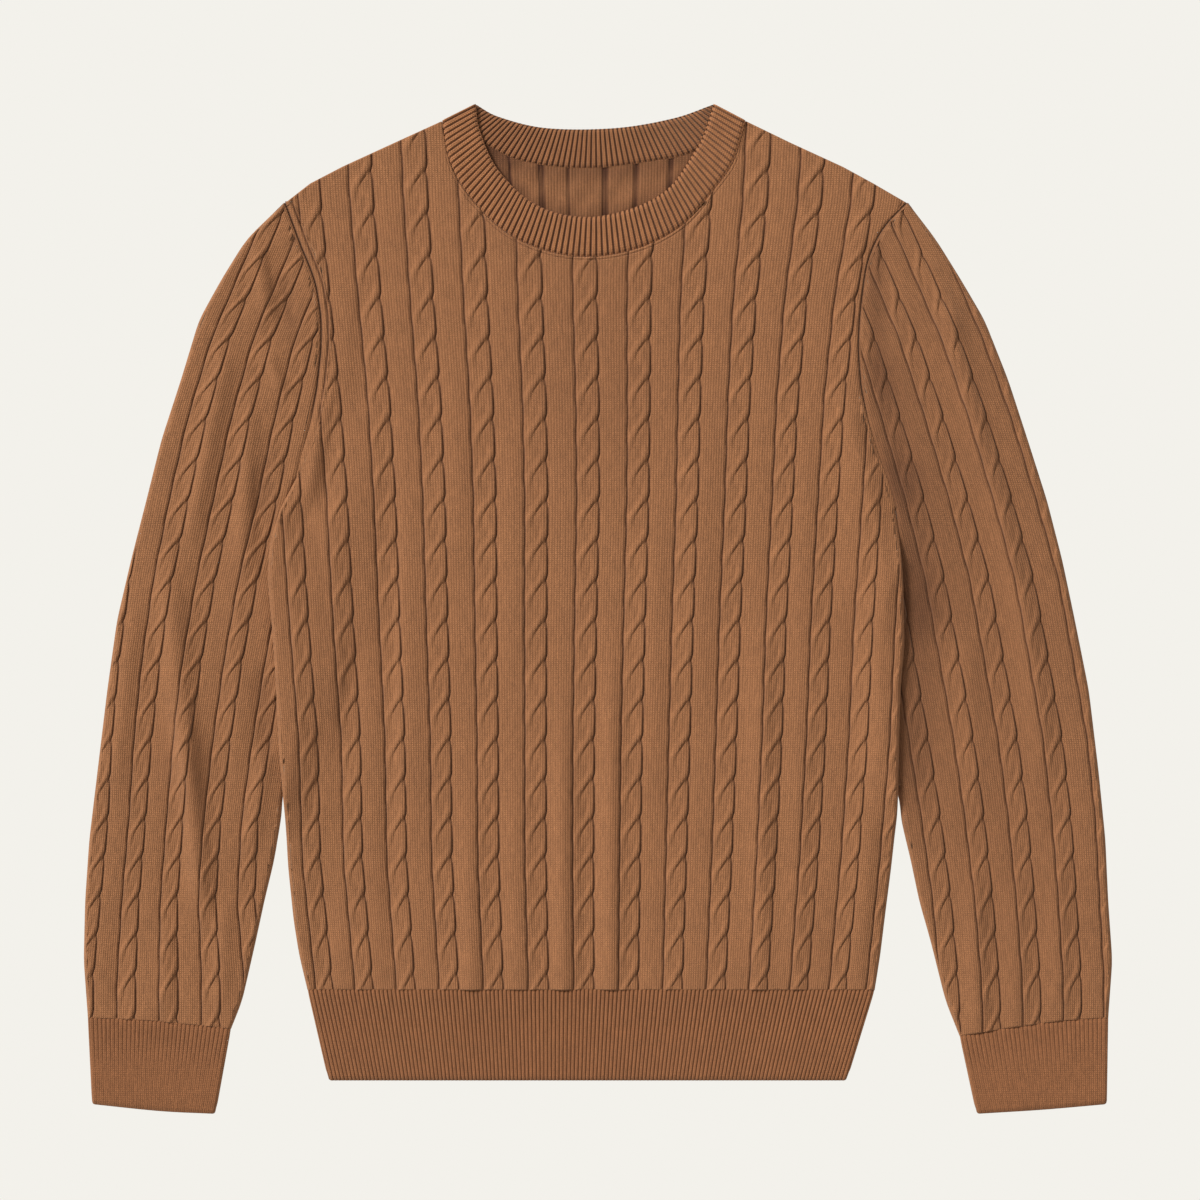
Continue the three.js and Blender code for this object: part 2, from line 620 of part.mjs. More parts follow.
function makeNeckband() {
  const overBack = (y) => clamp01((y - NECK_LAYER_FROM) / (NECK_LAYER_TO - NECK_LAYER_FROM));
  const frontBase = (y) => FRONT_BASE + (NECK_LAYER - FRONT_BASE) * overBack(y);
  const ends = (pairs) => [pairs[0], pairs.at(-1)].map(([x, y]) => new THREE.Vector2(x, y));
  const [leftTip, rightTip] = ends(NECK_FRONT_FREE);
  const [leftCorner, rightCorner] = ends(NECK_FRONT_SEAM);
  return neckStrip(NECK_FRONT_FREE, NECK_FRONT_SEAM, NECK_FRONT_RIBS, frontBase)
    .add(neckStrip(NECK_BACK_FREE, NECK_BACK_SEAM, NECK_BACK_RIBS, () => 0))
    .add(neckFold(leftTip, leftCorner))
    .add(neckFold(rightTip, rightCorner));
}

const camel = new THREE.MeshStandardMaterial({ color: 0x9a6a45, roughness: 0.9, metalness: 0 });
const sweater = new THREE.Group();

function addPiece(name, solid) {
  const { vertProperties, triVerts } = solid.getMesh();
  const geometry = new THREE.BufferGeometry();
  geometry.setAttribute('position', new THREE.BufferAttribute(vertProperties, 3));
  geometry.setIndex(new THREE.BufferAttribute(triVerts, 1));
  geometry.computeVertexNormals();
  const piece = new THREE.Mesh(geometry, camel.clone());
  piece.name = name;
  sweater.add(piece);
}

addPiece('back', makeBack());
addPiece('front', makeFront());
addPiece('sleeve_left', makeSleeve(LEFT_SLEEVE));
addPiece('sleeve_right', makeSleeve(RIGHT_SLEEVE));
addPiece('neckband', makeNeckband());
addPiece('hem_rib', ribbedTube(HEM_SEAM, HEM_FREE, HEM_RIBS));
addPiece('cuff_left', ribbedTube(CUFF_LEFT_SEAM, CUFF_LEFT_FREE, CUFF_RIBS));
addPiece('cuff_right', ribbedTube(CUFF_RIGHT_SEAM, CUFF_RIGHT_FREE, CUFF_RIBS));

export default sweater;
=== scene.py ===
import math

import bpy
import numpy as np
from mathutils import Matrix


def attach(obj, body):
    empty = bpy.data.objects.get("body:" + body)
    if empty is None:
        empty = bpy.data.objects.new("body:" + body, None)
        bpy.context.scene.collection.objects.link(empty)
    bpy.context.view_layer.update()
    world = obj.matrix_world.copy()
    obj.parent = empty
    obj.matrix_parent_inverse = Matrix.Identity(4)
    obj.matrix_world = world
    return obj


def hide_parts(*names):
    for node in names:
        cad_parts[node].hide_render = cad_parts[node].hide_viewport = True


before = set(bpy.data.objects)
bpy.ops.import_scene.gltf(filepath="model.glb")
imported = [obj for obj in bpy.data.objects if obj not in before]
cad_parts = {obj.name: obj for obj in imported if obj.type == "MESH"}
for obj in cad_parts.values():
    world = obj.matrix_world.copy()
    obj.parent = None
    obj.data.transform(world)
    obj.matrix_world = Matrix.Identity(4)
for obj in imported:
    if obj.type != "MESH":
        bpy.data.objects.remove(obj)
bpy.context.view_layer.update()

# Lengths are in millimetres until a mesh is made. Heights on the cloth are y, heights above
# the floor are z.
MM = 0.001

# Layers, as in the solids
WALL = 2.0
FRONT_PLAIN = 4.3
SLEEVE_PLAIN = 4.5
TUBE_TOP = 5.0  # of the hem and the cuffs
SIDE_LEVEL = 2.15  # height of the line along which a flattened tube folds
SEAM = 0.04  # gap between a sleeve and the body, where they are sewn together

# Where the body lies over the sleeves' inner edges
TUCK_LIFT = 5.6  # how far the body is raised there
TUCK_MARGIN = 2  # from a sleeve's inner edge to where the body is fully raised
TUCK_RAMP = 20  # width over which it rises
TUCK_OVERLAP = 4  # by which a sleeve reaches under the body's raised edge
TUCK_FROM = 0  # height from which a sleeve's hidden edge follows the body's
ARMPIT_BLEND = 8  # height over which a sleeve's edge leaves the seam

# A cable across, where the cables are CABLE_SPACING apart
CABLE_SPACING = 36.0
SIDE_CABLES = 6  # cables from the middle one to the side
SIDE_NARROWING = 0.05  # share by which the last of them lies nearer to the middle
PLACE_ROUNDS = 4  # of working back from x to a place across the cables
GROOVE_SHARE = 0.222  # from a cable's middle to its grooves, as a share of the spacing
GROOVE_DEPTH = 0.95
GROOVE_HALF = 0.62
GROOVE_DARK = 0.9  # share of the painted shade colour in a groove
STRAND_OFFSET = 5.2  # from the cable's middle to the crest of the strand on top
STRAND_HALF = 2.9
STRAND_RISE = 1.15
STRAND_ROUNDNESS = 0.7  # 0.5 makes a half circle
CELL_OFFSET = 2.8  # from the cable's middle to the middle of the flat strand below
CELL_HALF = 6.6
CELL_RISE = 0.85
BAND_CROWN = 0.55  # of the plain bands between the cables
UNDER_RELIEF = 0.6  # share of the relief on the undersides

# A cable along: positions and lengths are shares of the step from one crossing to the next
CROSSING_STEP = 28.6  # on average
CROSSING_SHIFT = 0.03  # by which the crossings lie above their heights in the table
CROSSING_SHARE = 0.40  # half a crossing's length
CROSSING_CORE = 0.6  # share of it over which the next two fade
CROSSING_RISE = 0.15  # by which the strand on top is higher
CROSSING_DROP = 0.35  # by which the flat strand is lower
CREASE_MIDDLE = -0.04  # from the crossing's middle
CREASE_REACH = 0.15  # from the crease's middle to its ends
CREASE_FADE = 0.07  # over which it fades towards them
CREASE_ASIDE = 0.84  # from the strand's crest, as a share of its half width
CREASE_DEPTH = 0.6  # under the lower side of the strand on top
CREASE_HALF = 0.62
# CREASE_DARK: share of the painted shade colour in the crease
CREASE_DARK = 0.32
SCALLOP = 1.35  # how far the right groove moves in at a crossing
SCALLOP_MIDDLE = 0.13
SCALLOP_HALF = 0.11
WAVE = 0.5  # how far the left groove moves out
WAVE_MIDDLE = -0.25
WAVE_HALF = 0.25

# Folds and shade
FOLD_FACTOR = 3.4  # from the rises in the tables to millimetres
FOLD_FADE = 0.3  # of a fold's length, over which it fades at each end
DEEPEST_FOLD = 1.3
EDGE_FOLD = 0.15  # share of the folds' height that is left at the side edges
EDGE_FOLD_REACH = 16  # from an edge to where they have their full height
DARKEST_SHADE = 0.6

# Mesh: places of the columns, as shares of the cables' spacing
COLUMNS_FINE = [
    -0.5, -0.43, -0.36, -0.30, -0.262, -0.242, -0.230, -0.218, -0.206, -0.194, -0.17,
    -0.14, -0.107, -0.073, -0.04, -0.007, 0.027, 0.06, 0.093, 0.13, 0.155, 0.175,
    0.19, 0.204, 0.216, 0.228, 0.242, 0.262, 0.30, 0.36, 0.43,
]
COLUMNS_COARSE = [
    -0.5, -0.40, -0.30, -0.25, -0.234, -0.222, -0.21, -0.19, -0.15, -0.10, -0.05,
    0.0, 0.05, 0.10, 0.15, 0.18, 0.20, 0.215, 0.23, 0.25, 0.30, 0.40,
]
# Mesh: places of the rows, as shares of the step from one crossing to the next
ROWS_FINE = [
    -0.44, -0.35, -0.27, -0.20, -0.155, -0.12, -0.09, -0.06, -0.02, 0.04, 0.12, 0.21, 0.31, 0.40,
]
ROWS_FRONT = [-0.42, -0.31, -0.21, -0.145, -0.11, -0.075, -0.02, 0.07, 0.17, 0.28, 0.40]
ROWS_COARSE = [-0.44, -0.33, -0.22, -0.11, 0.0, 0.11, 0.22, 0.33]
ROW_TILT = 1.3  # slope of the rows inside a cable, along its strands
ROW_OVERRUN = 14  # by which the first rows reach past a panel's ends
HEIGHT_STEP = 0.5  # between the heights that the rows are placed by
GRID_ROUNDS = 12  # of moving the points, until rows and columns agree
TILT_FADE = 14.0  # from a side edge, where the rows' tilt begins
EDGE_MARGIN = 2.4  # from an edge to the innermost line of points along it
WIDE_MARGIN = 7.0  # the same beside a seam band
WIDE_MARGIN_FADE = 20  # height over which it narrows
NARROW_SHARE = 0.4  # of a panel's width, where it is too narrow for the full margin
# Lines of points along the edges: shares of the margin, and distances from the ends
SIDE_SHARES = [0.91, 0.83, 0.75, 0.67, 0.58, 0.46, 0.34, 0.25, 0.15, 0.06, 0.0]
TOP_STEPS = [2.9, 2.5, 2.2, 1.9, 1.5, 0.8, 0.3, 0.0]
TOP_MARGIN = 3.4  # from an end to the first row inside them
WELDS_PER_MM = 50  # points that round to the same fiftieth of a millimetre become one

# Lines
SMOOTH_STEP = 2.0
SMOOTH_REACH = 7.0
SMOOTH_TAIL = 3  # reaches to each side that the smoothing takes in
LINE_STEPS = 12  # points of a rounded line for each one given
SLOPE_REACH = 1.5  # to each side of where a slope is taken
STEEPEST = 3

# Rounding of the edges: free sides, sewn sides, upper and lower ends
SIDE_ROUND = 2.6
SEAM_ROUND = 1.5
END_ROUND = 1.0
RELIEF_START = 0.5  # from a side edge, where the cables' relief begins

# Seams
ARMHOLE_SHALLOW = 0.25  # share of the armhole seam's depth that is left at the armpit
ARMHOLE_DEEPER_FROM = 110  # height from which it gets deeper
ARMHOLE_DEEPER_OVER = 60
ARMHOLE_REACH = 10  # from a sleeve's inner edge, what counts as beside the seam
# SEAM_DARK and SEAM_DARK_HALF: painted shade along the armhole seams, its share and half width
SEAM_DARK = 0.8
SEAM_DARK_HALF = 0.9
SEAM_BAND_WIDTH = 5.2  # of the flat band along the left armhole
SEAM_BAND_RISE = 0.5
SEAM_BAND_STEP = 1  # width over which it passes into the cables
SEAM_BAND_END = 120  # height of its lower end
SEAM_BAND_FADE = 40
LINKING_AT = 2.2  # from the neckband's seam to the line beside it
LINKING_DEPTH = 0.45
LINKING_HALF = 0.5
LINKING_END = 112  # from the middle to where the line ends at the shoulders
# SEAM_LINE_DARK: share of painted shade in the line beside the neckband's seam and in the second line
# beside the left armhole
SEAM_LINE_DARK = 0.8

# Ribs of the hem, the cuffs and the neckband; the DARK values are shares of painted shade in their
# valleys
HEM_RIBS = 138
HEM_RIB_RISE = 1.0
HEM_RIB_DARK = 0.58
HEM_FADING = 0.15
CUFF_RIBS = 34
CUFF_RIB_RISE = 0.62
CUFF_RIB_DARK = 0.26
CUFF_FADING = 0.85
NECK_FRONT_RIBS = 75
NECK_BACK_RIBS = 58
NECK_RIB_RISE = 1.4
NECK_RIB_DARK = 0.88
RIB_SHARPNESS = 2.4  # power by which a rib falls off from its crest
VALLEY_FADE = 0.5  # of half a rib, over which the painted shade in its valley grows

# Hem and cuffs
TUBE_RIB_COLUMNS = 6  # of points in a rib
TUBE_ROWS = 32
TUBE_VALLEY = 0.5  # from a rib's crest to where the painted shade in its valley begins, as a share of half a rib
FADING_FROM = 0.12  # shares of the tube's length
FADING_OVER = 0.5
FADED_DARK = 0.09  # how dark faded ribs are all over
SEAM_SCALLOP = 1.0  # by which crests reach further over the seam than valleys
SCALLOP_CREST = 1.1  # how far the crests reach over it
SCALLOP_RUN = 5
CORNER = 2.4  # rounding of the outline's lower corners
CORNER_FROM = 0.85
SEAM_END = 0.7  # rounding of the tube where it is sewn on
FREE_END = 1.6  # rounding of its free edge
SIDE_RIB_LOSS = 0.6  # share of the ribs' depth that is lost at the folded sides

# Neckband
NECK_RIB_COLUMNS = 8
NECK_ROWS = 14
NECK_VALLEY = 0.36
NECKBAND_HEIGHT = 25
NECKBAND_THICKNESS = 3.0
NECKBAND_ROUND = 1.5
NECK_UNDER_RELIEF = 0.4
NECK_FRONT_LEVEL = 2.3  # of the front half's underside, which climbs towards the shoulders
NECK_FRONT_CLIMB = 1.0
NECK_CLIMB_FROM = 295
NECK_CLIMB_OVER = 30
NECK_PALE_FROM = 0.42  # from the front half's middle to where the painted shade in its valleys is lightest
NECK_PALE_FADE = 0.3  # share of its length over which their painted shade gets lighter
NECK_SIDE_DARK = 0.7  # how dark the lightest painted shade is, as a share of the darkest
NECK_FOLD_SHARE = 12  # a twelfth of the back half gets painted shade at each shoulder
# NECK_FOLD_DARK and NECK_BACK_DARK: painted shade in the back half's shoulder folds and over all of it
NECK_FOLD_DARK = 0.62
NECK_BACK_DARK = 0.18

# The back's wrong side, inside the neck
INNER_LEFT = -108
INNER_RIGHT = 102
INNER_COLUMNS = 211
INNER_BOTTOM = 215
INNER_ROWS = 70
INNER_OVER = 0.3  # by which it reaches over the neckband's seam
INNER_CLEARANCE = 0.1  # above the wall
INNER_STRAND_RISE = 0.25
INNER_STRAND_SLOPE = 1.3
CHANNEL_DEPTH = 0.9
CHANNEL_WIDER = 0.5  # than in the table, where its edge fades out
CHANNEL_FADE = 0.9
CHANNEL_LEVEL = 294  # height at which the channels are as far apart as in the table
CHANNEL_SPREAD = 900  # height above it at which they are twice as far apart
INNER_DARK = 0.19  # shares of the painted shade colour, as are the next three
INNER_EDGE_DARK = 0.27
INNER_CHANNEL_DARK = 0.48
INNER_CORNER_DARK = 0.35
INNER_BAND_FADE = 14
INNER_BAND_START = 1.15  # more than 1, so it is darkest for a stretch below the neckband
INNER_FRONT_FADE = 10
INNER_CORNER_LEFT = -48
INNER_CORNER_RIGHT = 50
INNER_CORNER_FADE = 34
INNER_CORNER_RIGHT_SHARE = 0.8

# Stitches
WALES_PER_CABLE = 19  # columns of stitches from one cable to the next
WALES_PER_RIB = 2
COURSE = 1.4  # height of a row of stitches
RIB_COURSE = 1.5
STITCH_SLANT = 1.1
STITCH_ROW_ROUNDNESS = 0.6
STITCH_COLUMN_ROUNDNESS = 0.7

# Yarns: colour, painted shade colour that grooves and shaded places are mixed towards, depth of a stitch
# in metres
CABLE_YARN = ((0.300, 0.127, 0.0525), (0.058, 0.018, 0.008), 0.00038)
NECK_YARN = ((0.372, 0.152, 0.060), (0.068, 0.022, 0.011), 0.0005)
RIB_YARN = ((0.267, 0.106, 0.042), (0.050, 0.016, 0.007), 0.0003)

# Wool: the colour's factors run from the first value to the sum of both
FUZZ_NOISE = (1100.0, 2.0)  # scale, detail
PATCH_NOISE = (28.0, 3.0)
STREAK_NOISE = (1.0, 1.0)
STREAK_STRETCH = (0.9, 0.12, 1.0)
FUZZ_SHADE = (0.55, 0.9)
PATCH_SHADE = (0.92, 0.16)
STREAK_SHADE = (0.75, 0.5)
# Painted shade between the stitches: the colour is darker where the stitch height is low
STITCH_PAINTED_SHADE = (0.87, 0.22)
FUZZ_HEIGHT = 0.35
WOOL_ROUGHNESS = 0.9
WOOL_SPECULAR = 0.2
WOOL_SHEEN = 0.25
WOOL_SHEEN_ROUGHNESS = 0.5
WOOL_SHEEN_TINT = (0.9, 0.7, 0.5, 1)

# Stage, light and camera: places in metres, angles in degrees
FLOOR_HALF = 6.0
FLOOR_GLOW = (0.896, 0.880, 0.831, 1)
SUN_STRENGTH = 4.1
SUN_AZIMUTH = 142
SUN_ELEVATION = 33
SUN_SOFTNESS = 18
SKY_COLOR = (1.0, 0.99, 0.97, 1)
SKY_STRENGTH = 0.50
CAMERA_PLACE = (0.0014, 0.0065, 2.4)
CAMERA_LENS = 100
CAMERA_SENSOR = 36

# Body outline: height, left edge, right edge
BODY_EDGES = [
    (292, -225, 222), (276, -219, 206), (262, -214, 198), (248, -208, 193), (235, -203, 191),
    (210, -199, 188), (188, -199, 187), (159, -202, 189), (132, -207, 195), (109, -214, 202),
    (94, -217, 208), (73, -228, 214), (46, -236, 217), (21, -237, 219), (-25, -233, 220),
    (-58, -231, 217), (-102, -229, 216), (-148, -225, 215), (-185, -223, 211),
    (-224, -219, 206), (-249, -215, 203), (-274, -209, 199),
]
ARMPIT_LEFT = 94
ARMPIT_RIGHT = 73
SHOULDER_TIP_Y = 292
NECK_POINT_Y = 351
HEM_SEAM_Y = -274
CUFF_SEAM_Y = -307  # its lowest point

# Crossings of the cables: height, count
CROSSINGS = [
    (-330, -11.0), (-267.4, -9), (-210.4, -7), (-155.4, -5), (-98.9, -3), (-13.4, 0), (101.6, 4),
    (160.6, 6), (218, 8), (309.5, 11), (371, 13),
]

# Sleeves: height, outer edge of the left one, outer edge of the right one
SLEEVE_OUTER = [
    (292, -226, 223), (266, -253, 243), (237, -271, 261), (208, -287, 278), (165, -300, 295),
    (122, -314, 309), (78, -325, 323), (35, -336, 334), (-8, -346, 343), (-58, -353, 353),
    (-116, -360, 360), (-166, -366, 365), (-210, -369, 367), (-253, -370, 370),
    (-294, -367, 367), (-330, -365, 366),
]
# Inner edges of the sleeves below the armpits: height, edge
SLEEVE_INNER_LEFT = [
    (94, -217), (73, -228), (64, -232), (46, -224), (21, -219), (-25, -219), (-86, -219),
    (-118, -223), (-134, -227), (-148, -227.5), (-181, -233), (-210, -240), (-238, -246),
    (-282, -256), (-302, -264),
]
SLEEVE_INNER_RIGHT = [
    (73, 214), (55, 217), (36, 219.5), (21, 214), (-8, 205), (-58, 203), (-102, 208),
    (-126, 213), (-137, 217), (-152, 218), (-181, 225), (-210, 231), (-238, 239), (-282, 250),
    (-307, 260),
]

# Cables of the body: height, middle cable, spacing to the left, spacing to the right
BODY_CABLES = [
    (380, -9.4, 42.1, 42.8), (294, -9.4, 41.0, 41.4), (222, -9.0, 39.6, 38.7),
    (150, -7.2, 38.4, 36.7), (78, -6.8, 37.4, 35.7), (-8, -8.6, 36.1, 35.0),
    (-94, -10.1, 34.7, 34.6), (-181, -10.4, 34.3, 33.6), (-300, -9.7, 32.3, 31.5),
]
# Cables of a sleeve: height, middle of the counted cable, spacing
SLEEVE_CABLES_LEFT = [
    (380, -199, 29), (300, -226, 29), (251, -247, 29.5), (194, -271, 30), (136, -288, 31.3),
    (78, -301, 31.8), (21, -312.5, 30.6), (-37, -321, 29.5), (-94, -327, 28.4),
    (-152, -331, 27), (-210, -336, 27.7), (-267, -339, 30.5), (-330, -339, 30.2),
]
SLEEVE_CABLES_RIGHT = [
    (380, 178, 28), (280, 216, 28.8), (251, 229, 29.5), (194, 253.5, 30), (136, 273.5, 31),
    (78, 291, 31.3), (21, 306.5, 31.9), (-37, 317, 32), (-94, 327, 32), (-152, 333.5, 31.2),
    (-210, 337.5, 30), (-267, 341, 29.5), (-330, 341, 28.4),
]

# Where the body starts and ends lying over the sleeves: height, share of the full lift
TUCK_LEFT = [(-164.9, 0), (-136.1, 1), (65.5, 1), (94.3, 0)]
TUCK_RIGHT = [(-164.9, 0), (-136.1, 1), (36.7, 1), (65.5, 0)]

# Upper edge of the front and of the back, from left to right: x, height
SHOULDER_LEFT = [(-225, 292), (-207, 306), (-184, 318), (-147, 335), (-112, 351)]
SHOULDER_RIGHT = [(106, 351), (139, 335), (176, 318), (198, 306), (222, 292)]
NECK_FRONT_SEAM = [
    (-112, 351), (-107, 323), (-92, 296), (-62, 268), (-21, 254), (21, 257), (58, 274),
    (86, 305), (98, 324), (106, 351),
]
NECK_FRONT_FREE = [
    (-88, 363), (-85, 344), (-72, 316), (-45, 291), (-12, 282), (21, 287), (50, 302),
    (70, 330), (77, 344), (83, 363),
]
NECK_BACK_SEAM = [(-112, 351), (-81, 334), (-54, 322), (-9, 317), (45, 323), (72, 330), (106, 351)]
NECK_BACK_FREE = [(-88, 363), (-71, 354), (-37, 346), (12, 346), (54, 353), (83, 363)]

# Ribbed edges: their seam and their free edge, each from left to right: x, height
HEM_SEAM = [(-209, -274), (199, -274)]
HEM_FREE = [(-194, -339), (179, -339)]
CUFF_LEFT_SEAM = [(-367, -294), (-323, -296), (-282, -300), (-264, -302)]
CUFF_LEFT_FREE = [(-364, -356), (-315, -361), (-275, -363)]
CUFF_RIGHT_SEAM = [(260, -307), (297, -301), (334, -296), (367, -294)]
CUFF_RIGHT_FREE = [(272, -363), (320, -360), (366, -356)]
# Channels on the back's wrong side, seen through the neck: x, half width
INNER_CHANNELS = [(-85, 1.6), (-62, 0.9), (-40, 2.3), (-21, 0.9), (5, 2.3), (27, 1.8), (51, 2.0),
                  (74, 0.9), (92, 1.6)]

# Folds in the cloth: from x, y to x, y, half width, rise (below nought: a trough)
FRONT_FOLDS = [
    (-188, 110, -199, -110, 16, 1.1), (-150, 110, -155, -90, 8, -0.7), (-170, -10, -190, -150, 9, -0.7),
    (-186, -120, -204, -300, 8, -0.6), (-151, 200, -149, -320, 6, -0.4), (-169, 240, -172, 130, 6, -0.6),
    (-193, 150, -197, 60, 7, -0.6), (-190, 180, -212, 70, 7, 0.9), (-140, 70, -136, -190, 12, 0.4),
    (-25, -40, -25, -340, 7, 0.75), (10, 0, 10, -340, 7, 0.75), (-7, -90, -7, -330, 6, -0.5),
    (-92, -110, -90, -340, 8, 0.6), (-58, -90, -56, -320, 9, 0.45), (119, 30, 116, -320, 9, 0.85),
    (147, -60, 140, -310, 9, 0.5), (72, 150, 68, -100, 12, 0.45), (40, 90, 38, -160, 10, 0.4),
    (189, 300, 190, 120, 9, 0.6), (190, 200, 199, -40, 20, 1.3), (150, 150, 148, -150, 11, 0.35),
    (-60, 150, -60, -60, 12, 0.35), (-104, 190, -100, 20, 12, 0.4), (196, -60, 188, -290, 12, 0.6),
]
# Painted shade on the upper chest: from x, y to x, y, half width, share
FRONT_SHADE = [(-4, 340, 0, 60, 60, 0.10)]
SLEEVE_LEFT_FOLDS = [
    (-312, 60, -290, -160, 10, 1.3), (-300, -50, -281, -245, 8, 1.4), (-263, 210, -297, 30, 8, 1.0),
    (-234, 262, -221, 196, 6, -1.0), (-246, 268, -236, 200, 6, 0.8), (-240, 190, -224, 150, 5, 0.8),
    (-243, 110, -237, 10, 6, -0.9), (-241, -40, -238, -110, 6, -0.7), (-249, 170, -257, 10, 7, 0.8),
    (-335, 20, -352, -150, 9, 0.6), (-258, 40, -262, -140, 8, 0.4), (-268, -200, -272, -300, 7, 0.6),
    (-345, -200, -346, -300, 8, -0.4), (-310, -220, -312, -300, 7, 0.5), (-236, -90, -253, -190, 7, 0.7),
]
SLEEVE_RIGHT_FOLDS = [
    (199, 290, 203, 150, 8, -0.5), (204, 190, 222, 70, 10, -0.5), (222, 100, 237, -30, 12, -0.5),
    (236, 20, 238, -150, 12, -0.5), (244, 240, 285, 80, 8, 1.1), (276, 130, 315, -40, 8, 1.1),
    (305, 20, 325, -140, 9, 0.9), (262, -10, 275, -170, 9, 0.6), (300, -180, 302, -320, 8, 0.6),
    (270, -170, 274, -330, 8, 0.9), (330, -150, 332, -320, 8, 0.6), (232, 262, 262, 190, 8, 0.6),
]
# Where little light reaches, beside the body: from x, y to x, y, half width, share
SLEEVE_LEFT_SHADE = [
    (-236, 120, -240, 60, 6, 0.20), (-240, -30, -238, -130, 6, 0.20), (-228, 250, -218, 190, 6, 0.25),
]
SLEEVE_RIGHT_SHADE = [
    (196, 310, 204, 130, 8, 0.30), (202, 200, 222, 60, 16, 0.31), (214, 130, 232, -40, 25, 0.36),
    (224, 60, 222, -180, 22, 0.36), (262, 360, 300, -420, 90, 0.13),
]


def smooth_share(value):
    value = np.clip(value, 0, 1)
    return value * value * (3 - 2 * value)


def hump(value):
    return np.exp(-value * value)


def round_off(distance, reach):
    """How far a quarter circle falls off: 1 at the edge, 0 from its reach on"""
    left = np.clip(1 - distance / reach, 0, 1)
    return 1 - np.sqrt(1 - left * left)


def value_at(table, column, y):
    rows = np.array(sorted(table), dtype=float)
    return np.interp(y, rows[:, 0], rows[:, column])


def smooth_value_at(table, column, y):
    """A table's column, with its corners rounded over a short reach"""
    rows = np.array(sorted(table), dtype=float)
    heights = np.arange(rows[0, 0], rows[-1, 0] + SMOOTH_STEP, SMOOTH_STEP)
    values = np.interp(heights, rows[:, 0], rows[:, column])
    pad = int(SMOOTH_TAIL * SMOOTH_REACH / SMOOTH_STEP)
    before = 2 * values[0] - values[pad:0:-1]
    after = 2 * values[-1] - values[-2:-pad - 2:-1]
    kernel = hump(np.arange(-pad, pad + 1) * SMOOTH_STEP / SMOOTH_REACH)
    blurred = np.convolve(np.concatenate([before, values, after]), kernel / kernel.sum(), "valid")
    return np.interp(y, heights, blurred)


def body_left(y):
    return smooth_value_at(BODY_EDGES, 1, y)


def body_right(y):
    return smooth_value_at(BODY_EDGES, 2, y)


def body_track(c, y):
    """x of a place across the cables: whole numbers are the cables' middles"""
    spacing = np.where(c < 0, smooth_value_at(BODY_CABLES, 2, y), smooth_value_at(BODY_CABLES, 3, y))
    middle = smooth_value_at(BODY_CABLES, 1, y)
    return middle + c * spacing * (1 - SIDE_NARROWING * (c / SIDE_CABLES) ** 2)


def body_place(x, y):
    """The place across the cables at a point"""
    middle = smooth_value_at(BODY_CABLES, 1, y)
    spacing = np.where(x < middle, smooth_value_at(BODY_CABLES, 2, y),
                       smooth_value_at(BODY_CABLES, 3, y))
    c = (x - middle) / spacing
    for _ in range(PLACE_ROUNDS):
        c = (x - middle) / (spacing * (1 - SIDE_NARROWING * (c / SIDE_CABLES) ** 2))
    return c


def lift(x, y):
    """How far the body is raised over the sleeves' inner edges"""
    left_inner = value_at(SLEEVE_INNER_LEFT, 1, y) + TUCK_MARGIN
    right_inner = value_at(SLEEVE_INNER_RIGHT, 1, y) - TUCK_MARGIN
    left = value_at(TUCK_LEFT, 1, y) * np.clip((left_inner + TUCK_RAMP - x) / TUCK_RAMP, 0, 1)
    right = value_at(TUCK_RIGHT, 1, y) * np.clip((x - right_inner + TUCK_RAMP) / TUCK_RAMP, 0, 1)
    return TUCK_LIFT * np.maximum(left, right)


def strand(distance):
    return np.clip(1 - distance * distance, 0, 1) ** STRAND_ROUNDNESS


def strands(d, q):
    """Height of a cable's two strands and of the crease between them, at d aside from its middle"""
    swing = 2 * smooth_share((q / CROSSING_SHARE + 1) / 2) - 1
    crossing = hump(q / (CROSSING_CORE * CROSSING_SHARE))
    crest = swing * STRAND_OFFSET
    over = (STRAND_RISE + CROSSING_RISE * crossing) * strand((d - crest) / STRAND_HALF)
    under = CELL_RISE * strand((d + swing * CELL_OFFSET) / CELL_HALF) - CROSSING_DROP * crossing
    near = smooth_share((CREASE_REACH - np.abs(q - CREASE_MIDDLE)) / CREASE_FADE)
    crease = near * hump((d - crest - CREASE_ASIDE * STRAND_HALF) / CREASE_HALF)
    return np.maximum(over, under), crease


def cable_relief(c, y):
    """Height of the knit over the plain bands, and the painted shade in its grooves and creases"""
    d = (c - np.round(c)) * CABLE_SPACING
    phase = smooth_value_at(CROSSINGS, 1, y) - CROSSING_SHIFT
    q = phase - np.round(phase)
    cable, crease = strands(d, q)
    groove_at = GROOVE_SHARE * CABLE_SPACING
    right_at = groove_at - SCALLOP * hump((q - SCALLOP_MIDDLE) / SCALLOP_HALF)
    left_at = groove_at + WAVE * hump((q - WAVE_MIDDLE) / WAVE_HALF)
    groove = np.maximum(hump((d + left_at) / GROOVE_HALF), hump((d - right_at) / GROOVE_HALF))
    band_share = (CABLE_SPACING / 2 - np.abs(d)) / (CABLE_SPACING / 2 - groove_at)
    band = BAND_CROWN * (1 - np.clip(band_share, 0, 1) ** 2)
    inside = (d > -left_at) & (d < right_at)
    relief = np.where(inside, np.maximum(cable, 0), band)
    crease = np.where(inside, crease, 0)
    height = relief - CREASE_DEPTH * crease - GROOVE_DEPTH * groove
    painted_shade = np.clip(np.maximum(GROOVE_DARK * groove, CREASE_DARK * crease), 0, 1)
    return height, painted_shade


